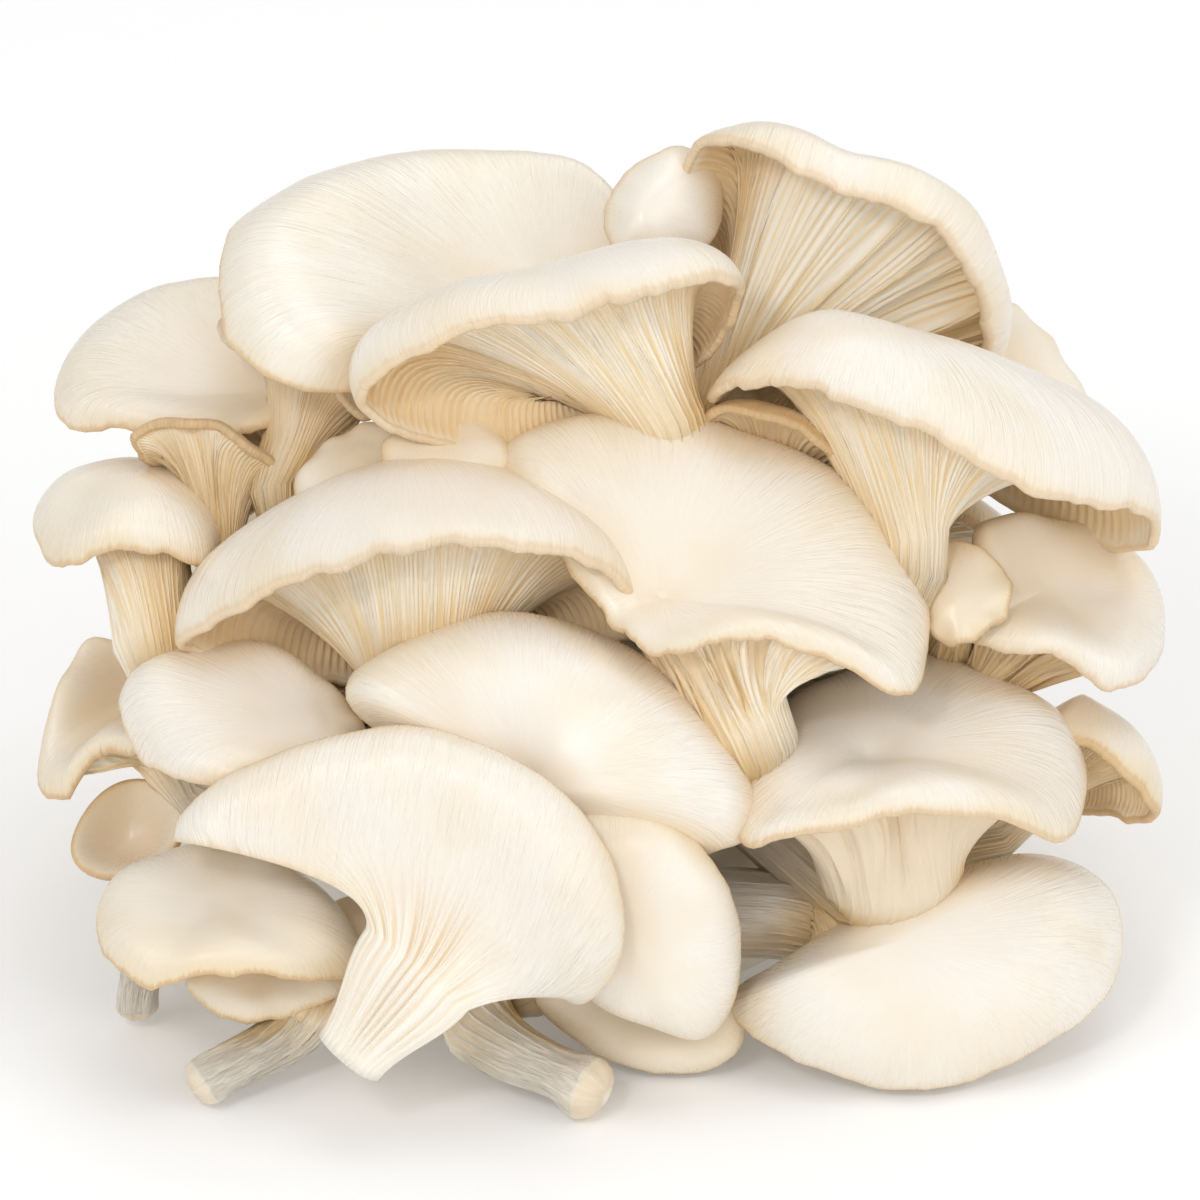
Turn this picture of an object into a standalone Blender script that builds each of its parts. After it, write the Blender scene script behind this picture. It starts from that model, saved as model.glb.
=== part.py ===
"""Oyster mushroom cluster: a heap of fan-shaped caps on short stems, modelled in metres with +Z up.

Each mushroom is one closed skin: a stem from its foot to the neck, gills from the neck to the margin, a thin
rim, and the smooth top back to the hub above the stem. Mushrooms that grew together are fused into one node.
"""

import math
from dataclasses import dataclass

import bmesh
import bpy
import numpy as np

MM = 0.001

# Places are given in millimetres in a frame tilted back by this much from upright: across to the right, rise
# up the tilted plane, and near towards the front. Its origin is the middle of the butt's flat underside.
TILT = math.radians(30)

# Rings of faces along each part of a mushroom, and columns of faces to a gill.
STEM_STEPS = (0.0, 0.5)
GILL_STEPS = (0.36, 0.7, 1.0)
TOP_STEPS = (1.0, 0.72, 0.4)
GILL_COLUMNS = 2

# Flesh of a cap above its gills and at its rim, and how deep the grooves between the gills go.
FLESH = 5.5
RIM = 2.2
GILL_DEPTH = 1.7

# Where along the gills they meet the flesh below the cap's flat part, and where along the top it starts.
GILL_MEET = 0.7
FLAT_START = 0.8

# How much of the margin's places is shared out by length, the rest going by angle round the hub.
BY_LENGTH = 0.7

# The least reach from the hub that still rounds the top behind the margin.
LEAST_REACH = 8

# The butt that the stems join: radius and height of each ring, how much wider it is than deep, and how far
# its middle lies towards the front.
BUTT_COLUMNS = 20
BUTT_PROFILE = ((30, 0), (33, 3), (35, 20), (32, 42), (24, 60), (10, 70))
BUTT_WIDER = 1.2
BUTT_FORWARD = 6
BUTT_WAVES = ((0.06, 3, 0.7), (0.04, 5, 0.0))

# The front fan's ribs from side to side, the steps along them, where its stem ends along a rib, and how deep
# the pleats of its front are.
FAN_RIBS = 22
FAN_STEPS = (0.0, 0.11, 0.22, 0.34, 0.47, 0.62, 0.77, 0.9, 1.0)
FAN_NECK = 0.22
FAN_PLEAT = 0.5

# Points nearer than this are one, neighbouring bunches keep this far apart, and the main bunch has at most
# this many triangles.
WELD = 0.00005
CLEARANCE = 0.0007
MOST_TRIANGLES = 11600

# Each bunch's node, and the colour of its flesh.
BUNCHES = {
    "front": ("front_fan", (0.84, 0.74, 0.61)),
    "low_left": ("front_left_bunch", (0.83, 0.72, 0.57)),
    "low_right": ("front_right_cap", (0.85, 0.75, 0.62)),
    "low_mid": ("front_middle_bunch", (0.84, 0.74, 0.6)),
    "main": ("main_bunch", (0.84, 0.74, 0.6)),
}


@dataclass
class Mushroom:
    """One fruit body. Places are (across, rise, near) in millimetres."""

    name: str
    bunch: str
    hub: tuple  # middle of the top, above the stem
    neck: tuple  # where the gills end on the stem
    foot: tuple  # where the stem ends
    margin: tuple  # places round the cap's edge, in order
    curl: float = 68.0  # degrees that the margin turns down
    dish: float = 5.0  # degrees that the top rises as it leaves the hub
    bulge: float = 0.36  # roundness of the top behind the margin
    neck_radius: float = 7.5
    foot_radius: float = 6.0
    foot_way: tuple = None  # the way the stem leaves its foot
    gills: int = 14
    ruffle: tuple = (0.6, 7, 0)  # height, count and phase in degrees of the margin's waves
    dents: tuple = ()  # place, radius and depth of each hollow in the top
    rolls: tuple = ()  # place, radius and degrees of each stretch where the margin curls more or less
    blunt: float = 0.0  # how far the end of a free stem is rounded out
    knob: float = 0.0  # how much thicker the end of a free stem is


@dataclass
class Fan:
    """A fruit body whose top runs on into the front of its stem, drawn along ribs from foot to margin."""

    name: str
    bunch: str
    foot: tuple  # middle of the stem's cut end
    neck: tuple  # middle of the stem where the cap spreads
    margin: tuple  # places along the cap's edge, from the left wing over the top to the right one
    facing: tuple = (0.0, 0.15, 1.0)  # the way the face looks
    foot_half: float = 7.4  # half the width of the stem at its foot and at its neck, and half its depth there
    neck_half: float = 13.0
    foot_deep: float = 6.0
    neck_deep: float = 6.0
    curl: float = 70.0  # degrees that the margin turns away from the front
    bulge: float = 0.32  # roundness of the front behind the margin


def to_world(points):
    """Places of the tilted frame as x, y, z in metres."""
    across, rise, near = points[..., 0], points[..., 1], points[..., 2]
    y = rise * math.sin(TILT) - near * math.cos(TILT)
    z = rise * math.cos(TILT) + near * math.sin(TILT)
    return np.stack([across, y, z], axis=-1) * MM


def ground(x, y, z=44.0):
    """A place given upright, in millimetres, as one of the tilted frame."""
    rise = y * math.sin(TILT) + z * math.cos(TILT)
    near = -y * math.cos(TILT) + z * math.sin(TILT)
    return (x, rise, near)


def unit(v):
    """Vectors of length one."""
    return v / np.maximum(np.linalg.norm(v, axis=-1, keepdims=True), 1e-9)


def smooth(x):
    """A soft step from 0 to 1."""
    x = np.clip(x, 0.0, 1.0)
    return x * x * (3 - 2 * x)


def bezier(a, b, c, d, t):
    """Places along cubic curves from a to d."""
    s = 1 - t
    return s**3 * a + 3 * s * s * t * b + 3 * s * t * t * c + t**3 * d


def closed_curve(points, steps):
    """A smooth closed curve through the points, with this many steps between each pair."""
    before, after, far = np.roll(points, 1, 0), np.roll(points, -1, 0), np.roll(points, -2, 0)
    t = (np.arange(steps) / steps)[None, :, None]
    a, d = points[:, None], after[:, None]
    b = a + (after - before)[:, None] / 6
    c = d - (far - points)[:, None] / 6
    return bezier(a, b, c, d, t).reshape(-1, 3)


def turned(vectors, start, end):
    """Vectors turned the shortest way that takes the direction start to the direction end."""
    axis = np.cross(start, end)
    cos = float(start @ end)
    return vectors * cos + np.cross(axis, vectors) + np.outer(vectors @ axis, axis) / (1 + cos)


class Skin:
    """The surface of one mushroom, with `columns` places round it."""

    def __init__(self, m, columns):
        self.m = m
        self.hub, self.neck, self.foot = (np.array(p, float) for p in (m.hub, m.neck, m.foot))
        points = np.array(m.margin, float)
        normal = unit(np.cross(points - points.mean(0), np.roll(points, -1, 0) - points.mean(0)).sum(0))
        if normal @ (self.hub - self.neck) < 0:
            points, normal = points[::-1], -normal
        self.normal = normal
        self.down = unit(self.neck - self.hub)
        flat = points.mean(0) - self.hub
        self.ahead = unit(flat - (flat @ normal) * normal)
        self.side = np.cross(normal, self.ahead)
        self.way = unit(np.array(m.foot_way or (0, math.cos(TILT), math.sin(TILT)), float))
        self.tip = self.foot - self.way * m.blunt
        self.spread(closed_curve(points, 24), columns)

    def spread(self, curve, columns):
        """Chooses the margin's places evenly, starting ahead of the hub."""
        height, count, phase = self.m.ruffle
        flat = curve - self.hub
        angle = np.arctan2(flat @ self.side, flat @ self.ahead)
        start = int(np.argmin(np.abs(angle)))
        curve = np.roll(curve, -start, 0)
        angle = np.unwrap(np.roll(angle, -start))
        step = np.linalg.norm(np.roll(curve, -1, 0) - curve, axis=1)
        gain = np.diff(np.append(angle, angle[0] + 2 * math.pi))
        gain = np.maximum(gain, 0)
        share = BY_LENGTH * step / step.sum() + (1 - BY_LENGTH) * gain / gain.sum()
        along = np.append(0, np.cumsum(share))
        wanted = np.arange(columns) / columns
        closed = np.vstack([curve, curve[:1]])
        self.edge = np.stack([np.interp(wanted, along, closed[:, k]) for k in range(3)], -1)
        self.angle = np.interp(wanted, along, np.append(angle, angle[0] + 2 * math.pi))
        wave = height * np.cos(count * self.angle + math.radians(phase))
        self.edge = self.edge + wave[:, None] * self.normal
        self.set_headings()

    def set_headings(self):
        """Finds the way that the top runs at each place of the margin."""
        m, n = self.m, self.normal
        flat = self.edge - self.hub
        flat = flat - (flat @ n)[:, None] * n
        self.reach = np.linalg.norm(flat, axis=1, keepdims=True)
        self.radial = unit(flat)
        along = np.roll(self.edge, -1, 0) - np.roll(self.edge, 1, 0)
        out = unit(np.cross(along, n))
        out = unit(0.6 * out + 0.4 * self.radial)
        curl = np.full((len(flat), 1), float(m.curl))
        for centre, radius, degrees in m.rolls:
            apart = np.linalg.norm(self.edge - np.array(centre, float), axis=1, keepdims=True)
            curl += degrees * np.exp(-(apart / radius) ** 2)
        curl = np.radians(curl)
        self.heading = np.cos(curl) * out - np.sin(curl) * n

    def top(self, t):
        """The top's ring: t from 0 at the hub to 1 at the margin."""
        dish = math.radians(self.m.dish)
        first = self.hub + 0.5 * self.reach * (math.cos(dish) * self.radial + math.sin(dish) * self.normal)
        run = self.m.bulge * np.maximum(self.reach, LEAST_REACH)
        ring = bezier(self.hub, first, self.edge - self.heading * run, self.edge, t)
        for centre, radius, depth in self.m.dents:
            apart = np.linalg.norm(ring - np.array(centre, float), axis=-1, keepdims=True)
            ring = ring - depth * np.exp(-(apart / radius) ** 2) * self.normal
        return ring

    def lifted(self, ring, ahead):
        """The way out of the surface at a ring, given its way outwards along the cap."""
        round_way = np.roll(ring, -1, 0) - np.roll(ring, 1, 0)
        return unit(np.cross(ahead, round_way))

    def below(self, t):
        """The cap's underside at a depth below the top's ring t."""
        ring = self.top(t)
        ahead = self.top(min(t + 0.01, 1.0)) - self.top(min(t + 0.01, 1.0) - 0.02)
        depth = RIM + (FLESH - RIM) * smooth(np.array((1 - t) / 0.5))
        return ring - self.lifted(ring, ahead) * depth

    def under(self, t):
        """The gills' ring: t from 0 at the neck to 1 at the margin."""
        if t >= GILL_MEET:
            return self.below(FLAT_START + (1 - FLAT_START) * (t - GILL_MEET) / (1 - GILL_MEET))
        start = self.ring(self.neck, self.down, self.m.neck_radius)
        end = self.below(FLAT_START)
        ahead = unit(self.below(FLAT_START + 0.02) - end)
        run = np.linalg.norm(end - start, axis=1, keepdims=True)
        return bezier(start, start - self.down * run * 0.22, end - ahead * run * 0.28, end, t / GILL_MEET)

    def gilled(self, t):
        """The gills' ring, with every other column cut back into the flesh."""
        ring = self.under(t)
        ahead = self.under(min(t + 0.02, 1.0)) - self.under(max(t - 0.02, 0.0))
        groove = np.arange(len(ring))[:, None] % GILL_COLUMNS
        cut = GILL_DEPTH * smooth(np.array(t / 0.2)) * smooth(np.array((1 - t) / 0.5))
        return ring + self.lifted(ring, ahead) * groove * cut

    def ring(self, centre, way, radius):
        """A round ring of the stem that faces the given way."""
        ahead, side = turned(np.stack([self.ahead, self.side]), -self.normal, unit(way))
        return centre + radius * (np.cos(self.angle)[:, None] * ahead + np.sin(self.angle)[:, None] * side)

    def stem(self, t):
        """The stem's ring: t from 0 at the foot to 1 at the neck."""
        m = self.m
        reach = np.linalg.norm(self.neck - self.foot)
        above, below = self.foot + self.way * reach * 0.3, self.neck + self.down * reach * 0.35
        bends = (self.foot, above, below, self.neck)
        heading = bezier(*bends, t - 0.01) - bezier(*bends, t + 0.01)
        radius = m.foot_radius + (m.neck_radius - m.foot_radius) * t**2
        return self.ring(bezier(*bends, t), heading, radius * (1 + m.knob * math.exp(-(t / 0.15) ** 2)))


def skin_rings(m):
    """The rings of one mushroom from the foot over the margin to the hub."""
    fine = Skin(m, m.gills * GILL_COLUMNS)
    coarse = Skin(m, m.gills)
    rings = [coarse.stem(t) for t in STEM_STEPS]
    rings.append(coarse.ring(coarse.neck, coarse.down, m.neck_radius))
    rings += [fine.gilled(t) for t in GILL_STEPS]
    rings += [coarse.top(t) for t in TOP_STEPS]
    return rings, coarse.tip, coarse.hub


def bridge(a, b):
    """Faces between two rings of point numbers, where one may have twice as many points as the other."""
    faces = []
    if len(a) == len(b):
        for i in range(len(a)):
            j = (i + 1) % len(a)
            faces.append((a[i], a[j], b[j], b[i]))
        return faces
    few, many = (a, b) if len(a) < len(b) else (b, a)
    for i in range(len(few)):
        here, there = few[i], few[(i + 1) % len(few)]
        first, middle, last = (many[k % len(many)] for k in (2 * i, 2 * i + 1, 2 * i + 2))
        trio = [(here, middle, first), (here, there, middle), (there, last, middle)]
        faces += trio if few is a else [face[::-1] for face in trio]
    return faces


def skin_mesh(m):
    """World points and faces of one closed mushroom."""
    rings, foot, hub = skin_rings(m)
    numbers, count = [], 0
    for ring in rings:
        numbers.append(list(range(count, count + len(ring))))
        count += len(ring)
    faces = []
    for a, b in zip(numbers, numbers[1:]):
        faces += bridge(a, b)
    first, last = numbers[0], numbers[-1]
    faces += [(count, first[(i + 1) % len(first)], first[i]) for i in range(len(first))]
    faces += [(count + 1, last[i], last[(i + 1) % len(last)]) for i in range(len(last))]
    return to_world(np.vstack(rings + [foot[None], hub[None]])), faces


def open_curve(points, wanted):
    """Places on a smooth curve through the points, at shares of its length from 0 to 1."""
    ends = np.vstack([2 * points[:1] - points[1:2], points, 2 * points[-1:] - points[-2:-1]])
    places = []
    for a, b, c, d in zip(ends, ends[1:], ends[2:], ends[3:]):
        for t in np.linspace(0, 1, 16, endpoint=False):
            places.append(bezier(b, b + (c - a) / 6, c - (d - b) / 6, c, t))
    places = np.vstack(places + [points[-1]])
    along = np.append(0, np.cumsum(np.linalg.norm(np.diff(places, axis=0), axis=1)))
    return np.stack([np.interp(wanted * along[-1], along, places[:, k]) for k in range(3)], -1)


class FanSkin:
    """The front and the back of the fan, at `ribs` + 1 places from side to side."""

    def __init__(self, fan, ribs):
        self.fan = fan
        self.foot, self.neck = np.array(fan.foot, float), np.array(fan.neck, float)
        self.facing = unit(np.array(fan.facing, float))
        self.across = np.linspace(-1, 1, ribs + 1)[:, None]
        axis = self.neck - self.foot
        self.axis = unit(axis - (axis @ self.facing) * self.facing)
        self.side = np.cross(self.axis, self.facing)
        self.edge = open_curve(np.array(fan.margin, float), (self.across[:, 0] + 1) / 2)
        self.set_headings()

    def set_headings(self):
        """Finds the way that the ribs run at each place of the margin."""
        along = np.gradient(self.edge, axis=0)
        outward = unit(np.cross(self.facing, along))
        radial = self.edge - self.neck
        radial = unit(radial - (radial @ self.facing)[:, None] * self.facing)
        out = unit(0.5 * outward + 0.5 * radial)
        curl = math.radians(self.fan.curl)
        self.heading = math.cos(curl) * out - math.sin(curl) * self.facing

    def rib(self, t):
        """The middle of the flesh: t from 0 at the foot to 1 at the margin."""
        foot = self.foot + self.side * self.fan.foot_half * self.across
        neck = self.neck + self.side * self.fan.neck_half * self.across
        if t < FAN_NECK:
            third = (self.neck - self.foot) / 3
            return bezier(foot, foot + third, neck - third, neck, t / FAN_NECK)
        run = np.linalg.norm(self.edge - neck, axis=1, keepdims=True)
        rise = unit(self.axis + 0.5 * self.across * self.side + 0.1 * self.facing)
        end = self.edge - self.heading * run * self.fan.bulge
        return bezier(neck, neck + rise * run * 0.25, end, self.edge, (t - FAN_NECK) / (1 - FAN_NECK))

    def depths(self, t):
        """How far the front and the back stand off the middle of the flesh."""
        fan, full = self.fan, np.sqrt(1 - self.across**2)
        stem = (fan.foot_deep + (fan.neck_deep - fan.foot_deep) * min(t / FAN_NECK, 1)) * full
        cap = RIM / 2 * np.sqrt(1 - self.across**8)
        gills = (FLESH - RIM) * np.sqrt(1 - self.across**4) * smooth((1 - t) / 0.35)
        spread = smooth((t - 0.6 * FAN_NECK) / 0.35)
        return stem + (cap - stem) * spread, stem + (cap + gills - stem) * spread

    def faces(self, t):
        """The front and the back at t."""
        middle = self.rib(t)
        ahead = self.rib(min(t + 0.01, 1.0)) - self.rib(min(t + 0.01, 1.0) - 0.02)
        out = unit(np.cross(np.gradient(middle, axis=0), ahead))
        front, back = self.depths(t)
        odd = np.arange(len(middle))[:, None] % 2
        full = np.sqrt(1 - self.across**2)
        pleat = FAN_PLEAT * full * smooth((t - 0.1) / 0.15) * smooth((0.62 - t) / 0.25)
        gill = GILL_DEPTH * full * smooth((t - FAN_NECK) / 0.2) * smooth((1 - t) / 0.3)
        return middle + out * (front - pleat * odd), middle - out * (back - gill * odd)


def fan_mesh(fan):
    """World points and faces of the closed fan."""
    skin = FanSkin(fan, FAN_RIBS)
    rings = []
    for t in FAN_STEPS:
        front, back = skin.faces(t)
        rings.append(np.vstack([front, back[-2:0:-1]]))
    count = len(rings[0])
    numbers = [list(range(i * count, (i + 1) * count)) for i in range(len(rings))]
    faces = []
    for a, b in zip(numbers, numbers[1:]):
        faces += bridge(a, b)
    first, last, tip = numbers[0], numbers[-1], count * len(rings)
    faces += [(tip, first[(i + 1) % count], first[i]) for i in range(count)]
    front, back = last[: FAN_RIBS + 1], [last[0]] + last[: FAN_RIBS - 1 : -1]
    for i in range(FAN_RIBS):
        corners = (front[i], front[i + 1], back[i + 1], back[i])
        faces.append(tuple(dict.fromkeys(corners)))
    return to_world(np.vstack(rings + [skin.foot[None]])), faces


def oval(centre, facing, forward, length, width):
    """Places round an oval margin."""
    facing, centre = unit(np.array(facing, float)), np.array(centre, float)
    forward = np.array(forward, float)
    forward = unit(forward - (forward @ facing) * facing)
    side = np.cross(facing, forward)
    angles = np.arange(8) * math.pi / 4
    spots = [centre + length / 2 * math.cos(a) * forward + width / 2 * math.sin(a) * side for a in angles]
    return tuple(tuple(s) for s in spots)


def upper_caps():
    """The caps at the top of the heap."""
    return [
        Mushroom("cap_top_left", "main", hub=(-8, 120, 38), neck=(-4, 92, 34), foot=ground(-6, 6),
                 margin=((-76, 129, 54), (-74, 116, 62), (-64, 107, 67), (-47, 104, 61), (-26, 108, 50),
                         (0, 116, 44), (8, 132, 38), (3, 145, 30), (-9, 154, 20), (-38, 153.5, 14),
                         (-59, 149, 26), (-73, 139.5, 42)), curl=66, gills=22),
        Mushroom("cap_left_behind", "main", hub=(-50, 118, 30), neck=(-62, 90, 46), foot=ground(-10, 8),
                 margin=((-76, 118, 46), (-66, 113, 54), (-54, 110, 56), (-46, 100, 52), (-40, 108, 44),
                         (-44, 122, 34), (-58, 128, 32), (-72, 124, 38)), curl=30, bulge=0.25, gills=14),
        Mushroom("cap_top_right", "main", hub=(30, 120, 12), neck=(20, 98, 42), foot=ground(0, 10),
                 margin=((17, 132, 34), (16.6, 142, 39), (16.6, 150, 44), (19, 155.6, 49), (25, 156.6, 52),
                         (31, 154.8, 56), (39, 150.2, 60), (47, 145.2, 62), (55, 143, 62), (63, 140.4, 60),
                         (71, 135, 54), (76, 126, 47), (78.5, 115.5, 39), (74, 106, 26), (50, 100, 15),
                         (27, 106, 18), (17, 121, 28)), curl=128, bulge=0.42, gills=24, neck_radius=8,
                 rolls=(((18, 149, 44), 21, -74),)),
        Mushroom("cap_top_mid", "main", hub=(11, 143, 50), neck=(10, 124, 34), foot=ground(0, 8),
                 margin=((1, 141, 44), (4, 148, 42), (10, 153, 41), (17, 155, 40), (24, 150, 38),
                         (24, 137, 38), (13, 130, 44), (3, 132, 46)), curl=60, gills=10),
        Mushroom("cap_upper_front", "main", hub=(-4, 130, 62), neck=(13, 98, 58), foot=ground(0, -2),
                 margin=((-49, 104, 76), (-33, 115, 86), (-8, 120, 90), (20, 127, 84), (29, 126, 72),
                         (23, 114, 56), (4, 102, 54), (-18, 94, 62), (-38, 95, 68)), curl=95, bulge=0.42,
                 gills=24, neck_radius=9),
        Mushroom("cap_right_front", "main", hub=(52, 120, 56), neck=(61, 74, 64), foot=ground(6, -2),
                 margin=((21, 104, 66), (33, 107.5, 78), (52, 102.5, 86), (70, 93.5, 88), (88, 85.5, 82),
                         (103, 83, 70), (111, 79, 58), (109.5, 73, 46), (92, 78, 34), (70, 88, 28),
                         (46, 98, 30), (28, 104, 45)), curl=80, bulge=0.36, gills=24, neck_radius=8.5),
        Mushroom("cap_mid_back", "main", hub=(37, 93, 45), neck=(35, 76, 42), foot=ground(4, 4),
                 margin=((20, 100, 60), (30, 103, 64), (42, 98, 66), (52, 91, 62), (52, 84, 50),
                         (42, 84, 38), (25, 92, 42)), curl=60, gills=12),
    ]


def left_caps():
    """The caps at the left of the heap."""
    return [
        Mushroom("cap_left", "main", hub=(-67, 106, 34), neck=(-58, 84, 30), foot=ground(-14, 6),
                 margin=((-110, 107, 24), (-108, 99.5, 34), (-94, 98, 42), (-76, 95.5, 46), (-62, 102, 46),
                         (-56, 117, 34), (-72, 128, 16), (-90, 127, 8), (-103, 119, 12)), curl=60, gills=16),
        Mushroom("cap_left_mid", "main", hub=(-94, 91, 40), neck=(-88, 55, 52), foot=ground(-16, 2),
                 margin=((-114, 80, 42), (-109, 71, 56), (-99, 73, 64), (-87, 74, 64), (-77, 71, 56),
                         (-77, 82, 34), (-92, 88, 22), (-107, 86, 28)), curl=88, bulge=0.4, gills=20,
                 neck_radius=9.5),
        Mushroom("cap_left_small", "main", hub=(-76, 91, 40), neck=(-76, 74, 46), foot=ground(-12, 4),
                 margin=((-94, 96, 46), (-87, 100, 51), (-77, 99, 54), (-67, 93, 54), (-62, 85, 48),
                         (-68, 82, 40), (-82, 88, 34)), curl=45, bulge=0.25, gills=14, neck_radius=4.5),
        Mushroom("cap_mid_left", "main", hub=(-38, 91, 62), neck=(-36, 42, 66), foot=ground(-6, -6),
                 margin=((-85, 55, 66), (-72, 63, 80), (-58, 69, 88), (-40, 74, 92), (-20, 75, 90),
                         (-2, 72, 84), (9, 62, 74), (2, 54, 60), (-24, 48, 52), (-50, 46, 54),
                         (-70, 51, 58)), curl=95, bulge=0.42, gills=26, neck_radius=9),
        Mushroom("cap_left_front", "main", hub=(-58, 40, 74), neck=(-52, 26, 56), foot=ground(-10, -6),
                 margin=((-96, 43, 62), (-89, 51, 56), (-74, 54, 52), (-58, 50, 58), (-46, 38, 72),
                         (-54, 29, 84), (-74, 26, 84), (-89, 31, 76)), curl=72, gills=14),
        Mushroom("cap_left_low", "main", hub=(-92, 46, 36), neck=(-84, 30, 44), foot=ground(-14, 2),
                 margin=((-101, 56, 36), (-110, 42, 42), (-113, 27, 44), (-107, 24, 50), (-98, 34, 54),
                         (-84, 32, 60), (-82, 46, 42)), curl=60, gills=12),
        Mushroom("cap_left_lower", "main", hub=(-93, 20, 37), neck=(-91, 4, 38), foot=(-93, -17.5, 41),
                 margin=((-105.5, 12, 46), (-103, 22, 44), (-94, 28, 41), (-84, 24, 44), (-86, 12, 50),
                         (-98, 8, 50)), curl=24, bulge=0.2, gills=12, foot_radius=4, neck_radius=5,
                 ruffle=(0.3, 4, 0), blunt=2.5),
        Mushroom("cap_small_a", "main", hub=(-31, 97, 64), neck=(-30, 78, 56), foot=ground(-4, -2),
                 margin=((-44, 93, 64), (-38, 99, 58), (-28, 101.5, 56), (-19, 97, 60), (-18, 88, 68),
                         (-36, 85, 70)), curl=60, gills=10),
        Mushroom("cap_small_b", "main", hub=(-48, 93, 58), neck=(-46, 74, 52), foot=ground(-6, 0),
                 margin=((-61, 87, 56), (-54, 96, 52), (-43, 100, 52), (-34, 93, 58), (-44, 83, 66),
                         (-57, 79, 64)), curl=60, gills=10),
    ]


def middle_caps():
    """The caps in the middle and at the right of the heap."""
    return [
        Mushroom("cap_centre", "main", hub=(12, 64, 76), neck=(28, 37, 75), foot=ground(2, -8),
                 margin=((-21, 91, 64), (-8, 99, 58), (8, 101, 54), (24, 98.5, 54), (41, 92, 57),
                         (57, 80, 61), (65, 65, 67), (65, 54, 74), (61, 44, 84), (49, 50, 92), (32, 56, 96),
                         (12, 53, 90), (2, 60, 80), (-10, 76, 74)), curl=70, dish=28, bulge=0.3, gills=24,
                 neck_radius=11),
        Mushroom("cap_mid_front", "main", hub=(-14, 28, 84), neck=(-14, 14, 66), foot=ground(-2, -10),
                 margin=((-51, 45, 82), (-40, 55, 76), (-24, 61, 70), (-8, 60, 70), (8, 53, 72),
                         (22, 41, 78), (30, 27, 82), (30, 18, 82), (24, 14, 82), (8, 13, 80), (-12, 16, 80),
                         (-34, 30, 82)), curl=70, dish=18, gills=22),
        Mushroom("cap_right_mid", "main", hub=(54, 32, 74), neck=(58, 10, 60), foot=ground(6, -6),
                 margin=((26, 30, 72), (28, 15, 86), (38, 17.5, 92), (50, 20, 94), (66, 22.5, 92),
                         (80, 19.5, 86), (92, 16, 76), (97, 26, 62), (94.5, 37, 50), (82, 45, 44),
                         (66, 50, 42), (50, 48, 44), (38, 43, 52)), curl=70, dish=18, bulge=0.34, gills=24,
                 neck_radius=15, foot_radius=8, dents=(((32, 25, 90), 5, 2.5), ((40, 26.5, 92), 5, 2.5),
                         ((48, 29, 92), 5, 2))),
        Mushroom("cap_right", "main", hub=(90, 66, 50), neck=(76, 46, 44), foot=ground(10, 2),
                 margin=((74, 56, 64), (76, 62, 62), (74.5, 78, 50), (86, 80.5, 40), (100, 78, 34),
                         (110, 70, 34), (113, 60, 40), (112.5, 52.5, 50), (104.5, 46, 60), (93, 51, 64),
                         (84, 53.5, 66)), curl=68, gills=18),
        Mushroom("cap_right_curl", "main", hub=(71, 64, 68), neck=(70, 54, 48), foot=ground(8, 0),
                 margin=((62, 71, 62), (70, 76, 58), (77, 73, 60), (82, 67.5, 63), (80, 61, 67),
                         (75, 57, 69), (69, 55.5, 69), (63, 60, 66)), curl=35, dish=0, bulge=0.22, gills=12,
                 neck_radius=5),
        Mushroom("cap_right_low", "main", hub=(97, 44, 42), neck=(84, 22, 44), foot=ground(10, -2),
                 margin=((87, 38, 56), (94, 36.5, 59), (102, 31, 60), (109, 26, 58), (111.5, 20.5, 53),
                         (109, 18.5, 48), (103, 20.5, 42), (97, 21, 38), (90, 26, 34), (84, 36, 34)),
                 curl=72, bulge=0.44, gills=14, neck_radius=6),
        Mushroom("cap_right_back", "main", hub=(84, 108, 16), neck=(72, 92, 14), foot=ground(8, 10),
                 margin=((82, 124, 14), (92, 116, 8), (99, 104, 8), (98, 92, 20), (84, 90, 36),
                         (70, 98, 36), (70, 114, 24)), curl=62, gills=14),
    ]


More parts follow.
